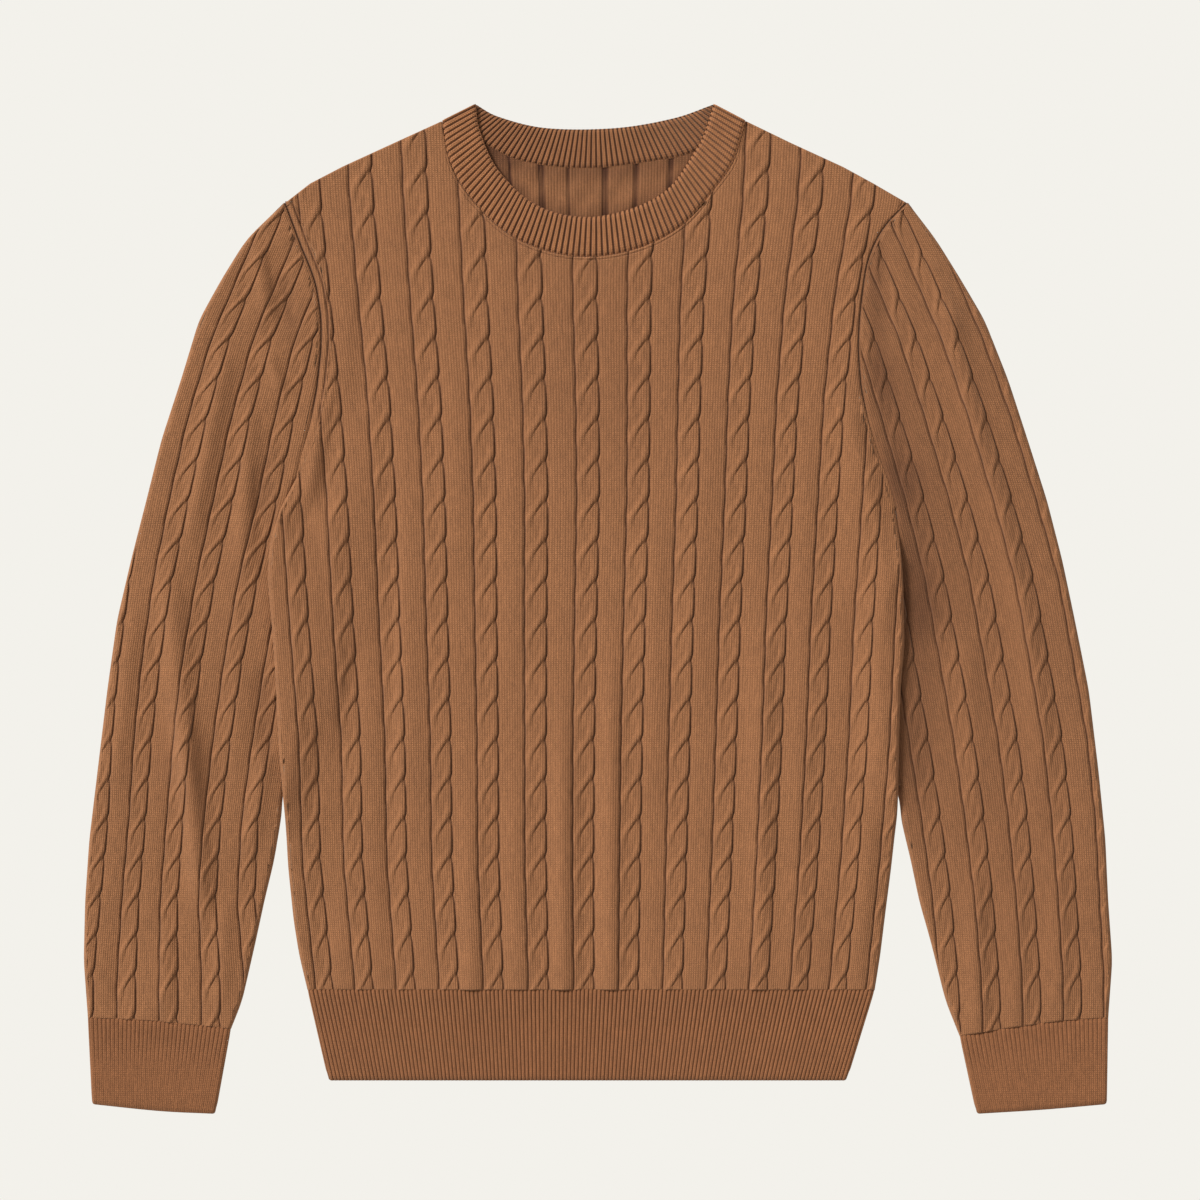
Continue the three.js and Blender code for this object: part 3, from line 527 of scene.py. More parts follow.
def creases(table, x, y):
    """Soft folds in the cloth: each row has two ends, a half width and a height"""
    total = np.zeros_like(x)
    for x0, y0, x1, y1, half, rise in table:
        length = math.hypot(x1 - x0, y1 - y0)
        along = ((x - x0) * (x1 - x0) + (y - y0) * (y1 - y0)) / length
        aside = ((x - x0) * (y1 - y0) - (y - y0) * (x1 - x0)) / length
        fade_over = FOLD_FADE * length
        fade = smooth_share(along / fade_over) * smooth_share((length - along) / fade_over)
        total += rise * fade * hump(aside / half)
    return total


def folds_of(table, x, y):
    """The cloth's folds, none of them deeper than the layer below allows"""
    total = FOLD_FACTOR * creases(table, x, y)
    return np.where(total < 0, DEEPEST_FOLD * np.tanh(total / DEEPEST_FOLD), total)


def tilted(c):
    """How far a row of points is shifted up along a cable's strands"""
    local = c - np.round(c)
    outside = np.sign(local) * GROOVE_SHARE * (0.5 - np.abs(local)) / (0.5 - GROOVE_SHARE)
    return ROW_TILT * CABLE_SPACING * np.where(np.abs(local) < GROOVE_SHARE, local, outside)


def row_heights(low, high, row_shares):
    """Heights of the rows of points, which lie closer together along the creases"""
    heights = np.arange(low, high, HEIGHT_STEP)
    phases = smooth_value_at(CROSSINGS, 1, heights) - CROSSING_SHIFT
    steps = np.arange(math.floor(phases[0]) - 1, math.ceil(phases[-1]) + 1)
    wanted = (steps[:, None] + np.array(row_shares)[None, :]).reshape(-1)
    wanted = wanted[(wanted > phases[0]) & (wanted < phases[-1])]
    return np.interp(wanted, phases, heights)


def kept_inside(panel, x, y, new_y):
    """x of points that move to new heights and keep their share of the panel's width"""
    left, right = panel["left"](y), panel["right"](y)
    new_left, new_right = panel["left"](new_y), panel["right"](new_y)
    return new_left + (x - left) / (right - left) * (new_right - new_left)


def shifted_rows(panel, c_all, y_all):
    """Places across the cables and heights of the rows of points, kept inside the margins"""
    c = c_all + 0 * y_all
    y = y_all + 0 * c_all
    for _ in range(GRID_ROUNDS):
        x = panel["track"](c, y)
        free_x = panel["track"](c_all, y)
        inside = np.minimum(free_x - panel["left"](y), panel["right"](y) - free_x)
        wanted = y_all + tilted(c_all) * smooth_share(inside / TILT_FADE)
        wanted = np.clip(wanted, panel["bottom"](x) + TOP_MARGIN,
                         panel["top"](x) - TOP_MARGIN * panel["steep"](x))
        y = (y + wanted) / 2
        narrow = NARROW_SHARE * (panel["right"](y) - panel["left"](y))
        left_margin = np.minimum(panel["left_margin"](y), narrow)
        right_margin = np.minimum(EDGE_MARGIN, narrow)
        lowest = panel["place"](panel["left"](y) + left_margin, y)
        highest = panel["place"](panel["right"](y) - right_margin, y)
        c = np.clip(c_all, lowest, np.maximum(lowest, highest))
    return c, y, left_margin, right_margin


def cable_grid(panel, columns, row_shares):
    """Points x, y over a whole panel, row by row from below"""
    counts = range(panel["first"], panel["last"] + 1)
    c_all = np.array([count + share for count in counts for share in columns])[None, :]
    low, high = panel["low"] - ROW_OVERRUN, panel["high"] + ROW_OVERRUN
    y_all = row_heights(low, high, row_shares)[:, None]
    c, y, left_margin, right_margin = shifted_rows(panel, c_all, y_all)
    x = panel["track"](c, y)
    for share in SIDE_SHARES:
        x = np.hstack([panel["left"](y[:, :1]) + share * left_margin[:, :1], x,
                       panel["right"](y[:, -1:]) - share * right_margin[:, -1:]])
        y = np.hstack([y[:, :1], y, y[:, -1:]])
    for step in TOP_STEPS:
        above = panel["top"](x[-1:]) - step * panel["steep"](x[-1:])
        below = panel["bottom"](x[:1]) + step
        low_x = kept_inside(panel, x[:1], y[:1], below)
        high_x = kept_inside(panel, x[-1:], y[-1:], above)
        x = np.vstack([low_x, x, high_x])
        y = np.vstack([below, y, above])
    return x, y


def edge_drop(x, y, panel, full_drop):
    """How far the cloth falls off at its edges"""
    side = np.minimum(x - panel["left"](y), panel["right"](y) - x)
    ends = np.minimum((panel["top"](x) - y) / panel["steep"](x), y - panel["bottom"](x))
    seam_side = panel["seam_side"](x, y)
    side_round = np.where(seam_side, SEAM_ROUND, SIDE_ROUND)
    side_drop = np.where(seam_side, SEAM_ROUND * panel["seam_depth"](y), full_drop)
    drops = 0 * x
    for distance, reach, drop in ((side, side_round, side_drop), (ends, END_ROUND, END_ROUND)):
        drops = np.maximum(drops, drop * round_off(distance, reach))
    return drops


def grid_faces(rows, columns, start, flip):
    corner = np.arange(rows * columns).reshape(rows, columns) + start
    a, b, c, d = corner[:-1, :-1], corner[:-1, 1:], corner[1:, 1:], corner[1:, :-1]
    first = np.stack([a, b, c], axis=-1).reshape(-1, 3)
    second = np.stack([a, c, d], axis=-1).reshape(-1, 3)
    faces = np.concatenate([first, second])
    return faces[:, ::-1] if flip else faces


def new_mesh(name, points, faces):
    """A smooth mesh of triangles, from points in millimetres"""
    mesh = bpy.data.meshes.new(name)
    mesh.vertices.add(len(points))
    mesh.vertices.foreach_set("co", (points * MM).reshape(-1))
    mesh.loops.add(len(faces) * 3)
    mesh.loops.foreach_set("vertex_index", faces.reshape(-1).astype(np.int32))
    mesh.polygons.add(len(faces))
    mesh.polygons.foreach_set("loop_start", np.arange(0, len(faces) * 3, 3, dtype=np.int32))
    mesh.polygons.foreach_set("use_smooth", np.ones(len(faces), dtype=bool))
    mesh.update(calc_edges=True)
    return mesh


def make_piece(name, grids, material):
    """One mesh from grids of points: each has places, uv, painted shade and whether its faces turn over
    """
    points, uvs, painted_shades, faces = [], [], [], []
    start = 0
    for grid in grids:
        rows, columns = grid["x"].shape
        points.append(np.stack([grid["x"], grid["y"], grid["z"]], axis=-1).reshape(-1, 3))
        uvs.append(np.stack([grid["u"], grid["v"]], axis=-1).reshape(-1, 2))
        painted_shades.append(grid["painted_shade"].reshape(-1))
        faces.append(grid_faces(rows, columns, start, grid["flip"]))
        start += rows * columns
    points, uvs, painted_shades = np.concatenate(points), np.concatenate(uvs), np.concatenate(painted_shades)
    faces = np.concatenate(faces)
    keys = np.round(points * WELDS_PER_MM).astype(np.int64)
    _, first, merged = np.unique(keys, axis=0, return_index=True, return_inverse=True)
    welded = merged.reshape(-1)[faces]
    real = ((welded[:, 0] != welded[:, 1]) & (welded[:, 1] != welded[:, 2])
            & (welded[:, 2] != welded[:, 0]))
    mesh = new_mesh(name, points[first], welded[real])
    layer = mesh.uv_layers.new(name="stitches")
    layer.data.foreach_set("uv", uvs[faces[real].reshape(-1)].reshape(-1))
    # The painted shade of grooves, creases, seams, rib valleys and shaded places goes into a point
    # attribute
    attribute = mesh.attributes.new("painted_shade", "FLOAT", "POINT")
    attribute.data.foreach_set("value", painted_shades[first])
    mesh.validate()
    mesh.materials.append(material)
    piece = bpy.data.objects.new(name, mesh)
    bpy.context.scene.collection.objects.link(piece)
    return piece


# Lines

def rounded(points):
    """A smooth line through the points, made of Catmull-Rom curves"""
    padded = np.vstack([2 * points[0] - points[1], points, 2 * points[-1] - points[-2]])
    pieces = []
    t = np.linspace(0, 1, LINE_STEPS, endpoint=False)[:, None]
    for p0, p1, p2, p3 in zip(padded, padded[1:], padded[2:], padded[3:]):
        pieces.append(0.5 * (2 * p1 + (p2 - p0) * t + (2 * p0 - 5 * p1 + 4 * p2 - p3) * t ** 2
                             + (3 * p1 - p0 - 3 * p2 + p3) * t ** 3))
    return np.vstack(pieces + [points[-1:]])


def line_of(pairs):
    xs, ys = np.array(pairs, dtype=float).T
    return lambda x: np.interp(x, xs, ys)


def steepness_of(line):
    """How much longer a slanted edge's distance is straight up than square to it"""
    def steep(x):
        slope = (line(x + SLOPE_REACH) - line(x - SLOPE_REACH)) / (2 * SLOPE_REACH)
        return np.clip(np.sqrt(1 + slope * slope), 1, STEEPEST)
    return steep


# Panels: the counts of their cables, their outline, and how places across the cables turn into x

def armhole_depth(y):
    return ARMHOLE_SHALLOW + (1 - ARMHOLE_SHALLOW) * smooth_share(
        (y - ARMHOLE_DEEPER_FROM) / ARMHOLE_DEEPER_OVER)


def body_seam_band(x, y):
    """The second line beside the left armhole, and the flat band up to the seam"""
    inside = x - body_left(y)
    length = smooth_share((y - SEAM_BAND_END) / SEAM_BAND_FADE) * (x < 0)
    line = hump((inside - SEAM_BAND_WIDTH) / GROOVE_HALF) * length
    band = smooth_share((SEAM_BAND_WIDTH - inside) / SEAM_BAND_STEP + 0.5) * length
    return line, band


def body_left_margin(y):
    beside_band = smooth_share((y - SEAM_BAND_END + WIDE_MARGIN_FADE) / WIDE_MARGIN_FADE)
    return EDGE_MARGIN + (WIDE_MARGIN - EDGE_MARGIN) * beside_band


def no_seam_band(x, y):
    return 0 * x, 0 * x


def body_panel(neck_seam):
    """The body's outline and cables, with its upper edge along one of the neck's seams"""
    neck = [tuple(point) for point in rounded(np.array(neck_seam, dtype=float))]
    top = line_of(SHOULDER_LEFT[:-1] + neck + SHOULDER_RIGHT[1:])
    return {
        "first": -8, "last": 7, "low": HEM_SEAM_Y, "high": NECK_POINT_Y,
        "track": body_track, "place": body_place,
        "left": body_left, "right": body_right,
        "top": top, "steep": steepness_of(top),
        "bottom": lambda x: HEM_SEAM_Y + 0 * x,
        "seam_side": lambda x, y: np.where(x < 0, y > ARMPIT_LEFT, y > ARMPIT_RIGHT),
        "seam_band": body_seam_band, "seam_depth": armhole_depth,
        "left_margin": body_left_margin,
    }


def sleeve_panel(cables, side, armpit, inner, seam, first, last):
    """A sleeve's outline and cables: side is -1 for the left one and 1 for the right one"""
    column = 1 if side < 0 else 2
    tuck = TUCK_LEFT if side < 0 else TUCK_RIGHT
    body_edge = body_left if side < 0 else body_right

    def outer_edge(y):
        return smooth_value_at(SLEEVE_OUTER, column, y)

    def inner_edge(y):
        sewn = body_edge(y) + side * SEAM
        blend = smooth_share((y - armpit + ARMPIT_BLEND / 2) / ARMPIT_BLEND)
        free = smooth_value_at(inner, 1, np.minimum(y, armpit))
        tucked = TUCK_OVERLAP * value_at(tuck, 1, y)
        hidden = side * (np.minimum(side * free, side * sewn) - tucked)
        below = np.where(y > TUCK_FROM, hidden, free)
        return blend * sewn + (1 - blend) * below

    def track(c, y):
        return smooth_value_at(cables, 1, y) + c * smooth_value_at(cables, 2, y)

    def place(x, y):
        return (x - smooth_value_at(cables, 1, y)) / smooth_value_at(cables, 2, y)

    return {
        "first": first, "last": last, "low": CUFF_SEAM_Y, "high": SHOULDER_TIP_Y,
        "track": track, "place": place,
        "left": outer_edge if side < 0 else inner_edge,
        "right": inner_edge if side < 0 else outer_edge,
        "top": lambda x: SHOULDER_TIP_Y + 0 * x, "steep": lambda x: 1 + 0 * x,
        "bottom": line_of(seam),
        "seam_side": lambda x, y: (np.abs(x - inner_edge(y)) < ARMHOLE_REACH) & (y > armpit),
        "seam_band": no_seam_band, "seam_depth": armhole_depth,
        "left_margin": lambda y: EDGE_MARGIN + 0 * y,
    }


# Layers of the panels

def top_grid(panel, plain, folds, shades, raised, columns, row_shares):
    """The side that faces up, with its folds, its cables and the seams beside it"""
    x, y = cable_grid(panel, columns, row_shares)
    c = panel["place"](x, y)
    relief, painted_shade = cable_relief(c, y)
    drop = edge_drop(x, y, panel, plain - SIDE_LEVEL)
    side = np.minimum(x - panel["left"](y), panel["right"](y) - x)
    fade = np.clip(1 - drop, 0, 1) * smooth_share((side - RELIEF_START) / EDGE_MARGIN)
    seam_line, band = panel["seam_band"](x, y)
    from_line = panel["top"](x) - y - LINKING_AT * panel["steep"](x)
    neck_line = hump(from_line / LINKING_HALF) * (np.abs(x) < LINKING_END)
    seam_line = np.maximum(seam_line, LINKING_DEPTH * neck_line)
    relief = relief * (1 - band) + SEAM_BAND_RISE * band - GROOVE_DEPTH * seam_line
    # Painted shade in the seam lines, none on the flat band
    painted_shade = np.maximum(painted_shade * (1 - band), SEAM_LINE_DARK * seam_line)
    held_down = EDGE_FOLD + (1 - EDGE_FOLD) * smooth_share(side / EDGE_FOLD_REACH)
    z = plain + raised(x, y) + held_down * folds_of(folds, x, y) + relief * fade - drop
    # Painted shade from the shade tables
    shade = np.clip(creases(shades, x, y), 0, DARKEST_SHADE)
    # Painted shade along the armhole seam
    at_armhole = panel["seam_side"](x, y) * smooth_share((y - SEAM_BAND_END) / SEAM_BAND_FADE)
    shade = np.maximum(shade, SEAM_DARK * hump(side / SEAM_DARK_HALF) * at_armhole)
    return {"x": x, "y": y, "z": z, "u": c * WALES_PER_CABLE, "v": y / COURSE,
            "painted_shade": np.maximum(painted_shade * fade, shade), "flip": False}


def under_grid(panel, raised, columns, row_shares):
    """The underside: its strands touch what they lie on"""
    x, y = cable_grid(panel, columns, row_shares)
    c = panel["place"](x, y)
    relief, painted_shade = cable_relief(-c, y)
    drop = edge_drop(x, y, panel, SIDE_LEVEL)
    fade = np.clip(1 - drop, 0, 1)
    carved = UNDER_RELIEF * np.maximum(STRAND_RISE + CROSSING_RISE - relief, 0)
    z = raised(x, y) + carved * fade + drop
    return {"x": x, "y": y, "z": z, "u": c * WALES_PER_CABLE, "v": y / COURSE,
            "painted_shade": painted_shade * fade, "flip": True}


def no_lift(x, y):
    return 0 * x


# Materials

def feed(tree, socket, value):
    """Link a socket to another one's output, or set it to a number or colour"""
    if isinstance(value, bpy.types.NodeSocket):
        tree.links.new(value, socket)
    else:
        socket.default_value = value


def linked(tree, kind, **inputs):
    """A new node with its inputs set or linked by name"""
    node = tree.nodes.new(kind)
    for name, value in inputs.items():
        feed(tree, node.inputs[name], value)
    return node


def calc(tree, operation, first, second=0.0, third=0.0):
    """A number worked out from up to three others"""
    node = tree.nodes.new("ShaderNodeMath")
    node.operation = operation
    for socket, value in zip(node.inputs, (first, second, third)):
        feed(tree, socket, value)
    return node.outputs[0]


def stitch_height(tree, u, v):
    """Rows of small V stitches, one column of them in each unit of u"""
    across = calc(tree, "FRACT", u)
    leg = calc(tree, "ABSOLUTE", calc(tree, "SUBTRACT", across, 0.5))
    slanted = calc(tree, "FRACT", calc(tree, "MULTIPLY_ADD", leg, STITCH_SLANT, v))
    row = calc(tree, "SINE", calc(tree, "MULTIPLY", slanted, math.pi))
    column = calc(tree, "COSINE", calc(tree, "MULTIPLY", leg, math.pi))
    return calc(tree, "MULTIPLY", calc(tree, "POWER", row, STITCH_ROW_ROUNDNESS),
                calc(tree, "POWER", column, STITCH_COLUMN_ROUNDNESS))


def noise(tree, place, scale, detail):
    return linked(tree, "ShaderNodeTexNoise", Vector=place, Scale=scale, Detail=detail).outputs["Fac"]


def streaks_along(tree, uv):
    """Slow changes of the yarn's colour, drawn out along the columns of stitches"""
    stretched = tree.nodes.new("ShaderNodeVectorMath")
    stretched.operation = "MULTIPLY"
    feed(tree, stretched.inputs[0], uv)
    feed(tree, stretched.inputs[1], STREAK_STRETCH)
    return noise(tree, stretched.outputs[0], *STREAK_NOISE)


def color_shade(tree, parts):
    """What the colour is multiplied by: factors, each with its lowest value and its gain"""
    product = 1.0
    for value, (lowest, gain) in parts:
        product = calc(tree, "MULTIPLY", product, calc(tree, "MULTIPLY_ADD", value, gain, lowest))
    return product


def painted_shade_color(tree, base, dark):
    """The yarn's colour, mixed towards its painted shade colour by the painted shade that the mesh
    carries
    """
    painted_shade = tree.nodes.new("ShaderNodeAttribute")
    painted_shade.attribute_name = "painted_shade"
    shade_mix = tree.nodes.new("ShaderNodeMix")
    shade_mix.data_type = "RGBA"
    shade_mix.blend_type = "MIX"
    feed(tree, shade_mix.inputs["Factor"], painted_shade.outputs["Fac"])
    feed(tree, shade_mix.inputs["A"], (*base, 1))
    feed(tree, shade_mix.inputs["B"], (*dark, 1))
    return shade_mix.outputs["Result"]


def wool(name, base, dark, stitch_depth):
    """Knitted wool: fuzz, streaks and patches in its colour, painted shade between the stitches,
    stitches in its surface
    """
    material = bpy.data.materials.new(name)
    material.use_nodes = True
    tree = material.node_tree
    tree.nodes.clear()
    uv_map = tree.nodes.new("ShaderNodeUVMap")
    uv_map.uv_map = "stitches"
    uv = uv_map.outputs[0]
    parts = linked(tree, "ShaderNodeSeparateXYZ", Vector=uv)
    stitches = stitch_height(tree, parts.outputs[0], parts.outputs[1])
    place = tree.nodes.new("ShaderNodeTexCoord").outputs["Object"]
    fuzz = noise(tree, place, *FUZZ_NOISE)
    patches = noise(tree, place, *PATCH_NOISE)
    shade = color_shade(tree, [(fuzz, FUZZ_SHADE), (patches, PATCH_SHADE),
                               (streaks_along(tree, uv), STREAK_SHADE), (stitches, STITCH_PAINTED_SHADE)])
    color = tree.nodes.new("ShaderNodeVectorMath")
    color.operation = "SCALE"
    feed(tree, color.inputs[0], painted_shade_color(tree, base, dark))
    feed(tree, color.inputs["Scale"], shade)
    height = calc(tree, "MULTIPLY_ADD", fuzz, FUZZ_HEIGHT, stitches)
    bump = linked(tree, "ShaderNodeBump", Height=height, Strength=1.0, Distance=stitch_depth)
    shader = linked(tree, "ShaderNodeBsdfPrincipled", Normal=bump.outputs[0])
    feed(tree, shader.inputs["Base Color"], color.outputs[0])
    shader.inputs["Roughness"].default_value = WOOL_ROUGHNESS
    shader.inputs["Specular IOR Level"].default_value = WOOL_SPECULAR
    shader.inputs["Sheen Weight"].default_value = WOOL_SHEEN
    shader.inputs["Sheen Roughness"].default_value = WOOL_SHEEN_ROUGHNESS
    shader.inputs["Sheen Tint"].default_value = WOOL_SHEEN_TINT
    output = tree.nodes.new("ShaderNodeOutputMaterial")
    tree.links.new(shader.outputs[0], output.inputs["Surface"])
    return material


CABLE_WOOL = wool("cable_wool", *CABLE_YARN)
NECK_WOOL = wool("neck_wool", *NECK_YARN)
RIB_WOOL = wool("rib_wool", *RIB_YARN)


# Ribbed pieces

def along_line(pairs, shares):
    """Points at shares of a smooth line's length, each share from 0 to 1"""
    points = np.array(pairs, dtype=float)
    if len(points) > 2:
        points = rounded(points)
    steps = np.hypot(*np.diff(points, axis=0).T)
    reached = np.concatenate([[0], np.cumsum(steps)]) / steps.sum()
    return np.interp(shares, reached, points[:, 0]), np.interp(shares, reached, points[:, 1])


def band_between(seam, free, across, down):
    """Points of a band at shares across and down, from its seam to its free edge"""
    seam_x, seam_y = along_line(seam, across)
    free_x, free_y = along_line(free, across)
    return seam_x + (free_x - seam_x) * down, seam_y + (free_y - seam_y) * down


def rib_profile(turns, rise, dark, valley_from):
    """Round ribs with narrow valleys: height, and the painted shade in the valleys between them"""
    from_crest = np.abs(turns - np.round(turns)) * 2
    valley = smooth_share((from_crest - valley_from) / VALLEY_FADE)
    return -rise * from_crest ** RIB_SHARPNESS, dark * valley


def flattened(z, side):
    """Heights of a tube's wall, drawn in to the middle at its folded sides"""
    middle = TUBE_TOP / 2
    return middle + (z - middle) * (1 - side)


def ribbed_tube(name, seam, free, ribs, rise, dark, fading):
    """A flattened ribbed tube, whose ribs lose the share fading on the way to its free edge"""
    across = np.linspace(0, 1, ribs * TUBE_RIB_COLUMNS + 1)[None, :]
    down = np.linspace(0, 1, TUBE_ROWS)[:, None]
    x, y = band_between(seam, free, across, down)
    length = abs(seam[0][1] - free[0][1])
    run = down * length
    turns = across * ribs + 0 * down
    strength = 1 - fading * smooth_share((down - FADING_FROM) / FADING_OVER)
    rib, painted_shade = rib_profile(turns, rise * strength, dark * strength, TUBE_VALLEY)
    from_crest = 2 * np.abs(turns - np.round(turns))
    y = y + SEAM_SCALLOP * (SCALLOP_CREST - from_crest) * np.clip(1 - run / SCALLOP_RUN, 0, 1)
    ends = np.minimum(run / SEAM_END, (length - run) / FREE_END)
    end_drop = np.where(down < 0.5, SEAM_END, FREE_END) * round_off(ends, 1)
    from_side = np.minimum(across, 1 - across) * np.abs(x[:, -1:] - x[:, :1])
    y = y + CORNER * round_off(from_side, CORNER) * smooth_share((down - CORNER_FROM)
                                                                 / (1 - CORNER_FROM))
    side = round_off(from_side, SIDE_ROUND)
    rib = rib * (1 - SIDE_RIB_LOSS * side)
    shared = {"x": x, "y": y, "u": WALES_PER_RIB * turns, "v": y / RIB_COURSE,
              "painted_shade": painted_shade * (1 - side) + FADED_DARK * fading}
    top = dict(shared, z=flattened(TUBE_TOP + rib - end_drop, side), flip=True)
    under = dict(shared, z=flattened(UNDER_RELIEF * (end_drop - rib), side), flip=False)
    return make_piece(name, [top, under], RIB_WOOL)


def front_band_shape(across, y):
    """How much painted shade the valleys get along the front half, and the height of its underside"""
    lower = smooth_share((NECK_PALE_FROM - np.abs(across - 0.5)) / NECK_PALE_FADE)
    dark = NECK_RIB_DARK * (NECK_SIDE_DARK + (1 - NECK_SIDE_DARK) * lower)
    climb = smooth_share((y - NECK_CLIMB_FROM) / NECK_CLIMB_OVER)
    return dark, NECK_FRONT_LEVEL + NECK_FRONT_CLIMB * climb


def back_band_painted_shade(across, painted_shade):
    """Painted shade over the back half, which lies in the shade, most of all in its two folds at the
    shoulders
    """
    near_fold = np.clip(1 - np.minimum(across, 1 - across) * NECK_FOLD_SHARE, 0, 1)
    painted_shade = np.maximum(painted_shade, NECK_FOLD_DARK * near_fold)
    return NECK_BACK_DARK + (1 - NECK_BACK_DARK) * painted_shade


def band_half(seam, free, ribs, is_front):
    """Top and underside of the neckband's front or back half"""
    across = np.linspace(0, 1, ribs * NECK_RIB_COLUMNS + 1)[None, :]
    down = np.linspace(0, 1, NECK_ROWS)[:, None]
    x, y = band_between(seam, free, across, down)
    turns = across * ribs + 0 * down
    dark, level = front_band_shape(across, y) if is_front else (NECK_RIB_DARK, 0)
    rib, painted_shade = rib_profile(turns, NECK_RIB_RISE, dark, NECK_VALLEY)
    if not is_front:
        painted_shade = back_band_painted_shade(across, painted_shade)
    run = down * NECKBAND_HEIGHT + 0 * x
    end_drop = NECKBAND_ROUND * round_off(np.minimum(run, NECKBAND_HEIGHT - run), NECKBAND_ROUND)
    shared = {"x": x, "y": y, "u": WALES_PER_RIB * turns, "v": run / RIB_COURSE, "painted_shade": painted_shade}
    return [dict(shared, z=level + NECKBAND_THICKNESS + rib - end_drop, flip=False),
            dict(shared, z=level - rib * NECK_UNDER_RELIEF + end_drop, flip=True)]


def make_neckband():
    front = band_half(NECK_FRONT_SEAM, NECK_FRONT_FREE, NECK_FRONT_RIBS, True)
    back = band_half(NECK_BACK_SEAM, NECK_BACK_FREE, NECK_BACK_RIBS, False)
    return make_piece("neckband_knit", front + back, NECK_WOOL)


def make_hem():
    return ribbed_tube("hem_knit", HEM_SEAM, HEM_FREE, HEM_RIBS, HEM_RIB_RISE, HEM_RIB_DARK,
                       HEM_FADING)


def make_cuff(name, seam, free):
    return ribbed_tube(name, seam, free, CUFF_RIBS, CUFF_RIB_RISE, CUFF_RIB_DARK, CUFF_FADING)


# Pieces

def make_front():
    panel = body_panel(NECK_FRONT_SEAM)
    grid = top_grid(panel, FRONT_PLAIN, FRONT_FOLDS, FRONT_SHADE, lift, COLUMNS_FINE, ROWS_FRONT)
    return make_piece("front_knit", [grid], CABLE_WOOL)


def inner_shade(x, y, top, channel):
    """Painted shade on the inside: most in its channels, under the neckband and in the corners"""
    under_band = smooth_share(INNER_BAND_START - (top - y) / INNER_BAND_FADE)
    beside_front = np.clip(1 - (y - line_of(NECK_FRONT_FREE)(x)) / INNER_FRONT_FADE, 0, 1)
    left_corner = smooth_share((INNER_CORNER_LEFT - x) / INNER_CORNER_FADE)
    right_corner = smooth_share((x - INNER_CORNER_RIGHT) / INNER_CORNER_FADE)
    corners = np.maximum(left_corner, INNER_CORNER_RIGHT_SHARE * right_corner)
    return (INNER_DARK + INNER_EDGE_DARK * np.maximum(under_band, beside_front)
            + INNER_CHANNEL_DARK * channel + INNER_CORNER_DARK * corners)


def inner_patch():
    """The back's wrong side, as far as it shows inside the neck"""
    x = np.linspace(INNER_LEFT, INNER_RIGHT, INNER_COLUMNS)[None, :]
    up = np.linspace(0, 1, INNER_ROWS)[:, None]
    top = line_of(rounded(np.array(NECK_BACK_SEAM, dtype=float)))(x) + INNER_OVER
    y = INNER_BOTTOM + (top - INNER_BOTTOM) * up
    x = x + 0 * y
    channel = np.zeros_like(x)
    for middle, half in INNER_CHANNELS:
        aside = np.abs(x - middle * (1 + (y - CHANNEL_LEVEL) / CHANNEL_SPREAD))
        channel = np.maximum(channel, smooth_share((half + CHANNEL_WIDER - aside) / CHANNEL_FADE))
    strand_wave = np.sin((y - INNER_STRAND_SLOPE * x) * 2 * math.pi / CROSSING_STEP)
    z = WALL + INNER_CLEARANCE + INNER_STRAND_RISE * strand_wave - CHANNEL_DEPTH * channel
    return {"x": x, "y": y, "z": z, "u": body_place(x, y) * WALES_PER_CABLE, "v": y / COURSE,
            "painted_shade": inner_shade(x, y, top, channel), "flip": False}


def make_back():
    panel = body_panel(NECK_BACK_SEAM)
    under = under_grid(panel, lift, COLUMNS_COARSE, ROWS_COARSE)
    return make_piece("back_knit", [under, inner_patch()], CABLE_WOOL)


def make_sleeve(name, panel, folds, shades):
    top = top_grid(panel, SLEEVE_PLAIN, folds, shades, no_lift, COLUMNS_FINE, ROWS_FINE)
    under = under_grid(panel, no_lift, COLUMNS_FINE, ROWS_FINE)
    return make_piece(name, [top, under], CABLE_WOOL)


def make_sleeves():
    left = sleeve_panel(SLEEVE_CABLES_LEFT, -1, ARMPIT_LEFT, SLEEVE_INNER_LEFT, CUFF_LEFT_SEAM,
                        first=-3, last=5)
    right = sleeve_panel(SLEEVE_CABLES_RIGHT, 1, ARMPIT_RIGHT, SLEEVE_INNER_RIGHT, CUFF_RIGHT_SEAM,
                         first=-5, last=3)
    return (make_sleeve("sleeve_left_knit", left, SLEEVE_LEFT_FOLDS, SLEEVE_LEFT_SHADE),
            make_sleeve("sleeve_right_knit", right, SLEEVE_RIGHT_FOLDS, SLEEVE_RIGHT_SHADE))


front = make_front()
back = make_back()
sleeve_left, sleeve_right = make_sleeves()
neckband = make_neckband()
hem = make_hem()
cuff_left = make_cuff("cuff_left_knit", CUFF_LEFT_SEAM, CUFF_LEFT_FREE)
cuff_right = make_cuff("cuff_right_knit", CUFF_RIGHT_SEAM, CUFF_RIGHT_FREE)

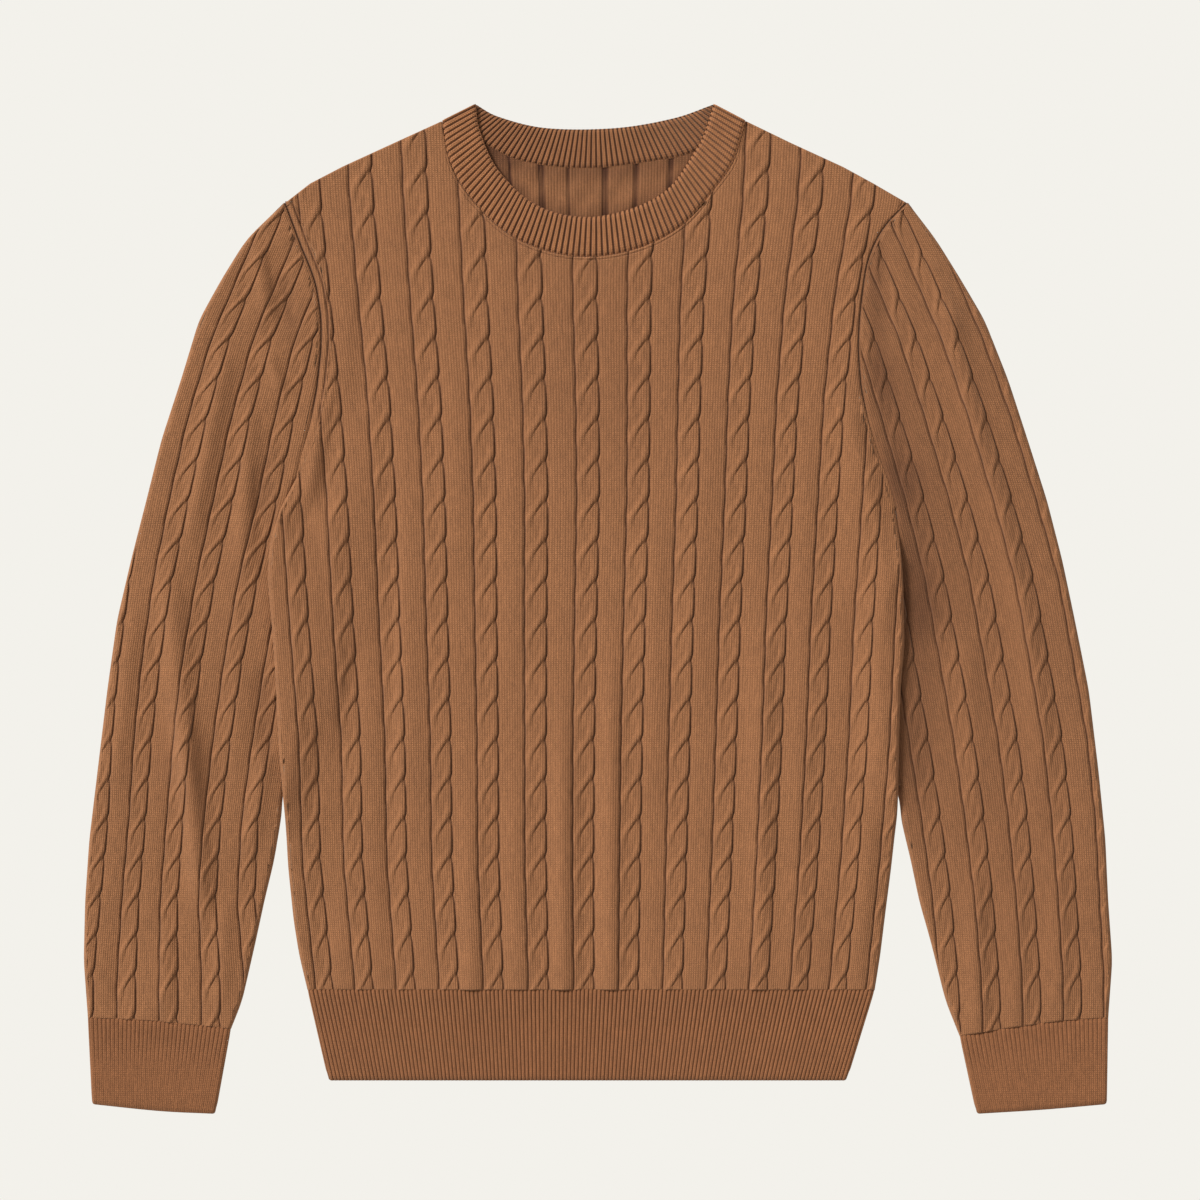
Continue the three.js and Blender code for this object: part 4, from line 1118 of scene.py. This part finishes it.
# Piece, node, slot, width and length of the cut in metres, what it rests on
PIECES = [
    (front, "front", "cable_knit", 0.45, 0.63, ["back", "sleeve_left", "sleeve_right"]),
    (back, "back", "cable_knit", 0.45, 0.63, ["sleeve_left", "sleeve_right", "floor"]),
    (sleeve_left, "sleeve_left", "cable_knit", 0.27, 0.6, ["floor"]),
    (sleeve_right, "sleeve_right", "cable_knit", 0.27, 0.6, ["floor"]),
    (neckband, "neckband", "rib_knit", 0.52, 0.052, ["front"]),
    (hem, "hem_rib", "rib_knit", 0.78, 0.065, ["floor"]),
    (cuff_left, "cuff_left", "rib_knit", 0.2, 0.062, ["floor"]),
    (cuff_right, "cuff_right", "rib_knit", 0.2, 0.062, ["floor"]),
]


# Stage, light and camera

def make_floor():
    """A floor that glows evenly, so it takes no shadow, as in the photo"""
    corners = [(-FLOOR_HALF, -FLOOR_HALF, 0), (FLOOR_HALF, -FLOOR_HALF, 0),
               (FLOOR_HALF, FLOOR_HALF, 0), (-FLOOR_HALF, FLOOR_HALF, 0)]
    mesh = bpy.data.meshes.new("floor")
    mesh.from_pydata(corners, [], [(0, 1, 2, 3)])
    floor = bpy.data.objects.new("floor", mesh)
    bpy.context.scene.collection.objects.link(floor)
    material = bpy.data.materials.new("floor_paper")
    material.use_nodes = True
    shader = material.node_tree.nodes["Principled BSDF"]
    shader.inputs["Base Color"].default_value = (0, 0, 0, 1)
    shader.inputs["Specular IOR Level"].default_value = 0
    shader.inputs["Emission Color"].default_value = FLOOR_GLOW
    shader.inputs["Emission Strength"].default_value = 1
    mesh.materials.append(material)


def make_sun():
    light = bpy.data.lights.new("key", "SUN")
    light.energy = SUN_STRENGTH
    light.angle = math.radians(SUN_SOFTNESS)
    sun = bpy.data.objects.new("key", light)
    sun.rotation_euler = (0, math.radians(90 - SUN_ELEVATION), math.radians(SUN_AZIMUTH))
    bpy.context.scene.collection.objects.link(sun)


def make_world():
    world = bpy.data.worlds.new("studio")
    world.use_nodes = True
    background = world.node_tree.nodes["Background"]
    background.inputs["Color"].default_value = SKY_COLOR
    background.inputs["Strength"].default_value = SKY_STRENGTH
    bpy.context.scene.world = world


def make_camera():
    lens = bpy.data.cameras.new("camera")
    lens.lens = CAMERA_LENS
    lens.sensor_width = CAMERA_SENSOR
    camera = bpy.data.objects.new("camera", lens)
    camera.location = CAMERA_PLACE
    bpy.context.scene.collection.objects.link(camera)
    bpy.context.scene.camera = camera


make_floor()
make_sun()
make_world()
make_camera()
bpy.context.scene.view_settings.view_transform = "Standard"

for piece, node, slot_name, width, length, rests_on in PIECES:
    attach(piece, "root")
    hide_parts(node)
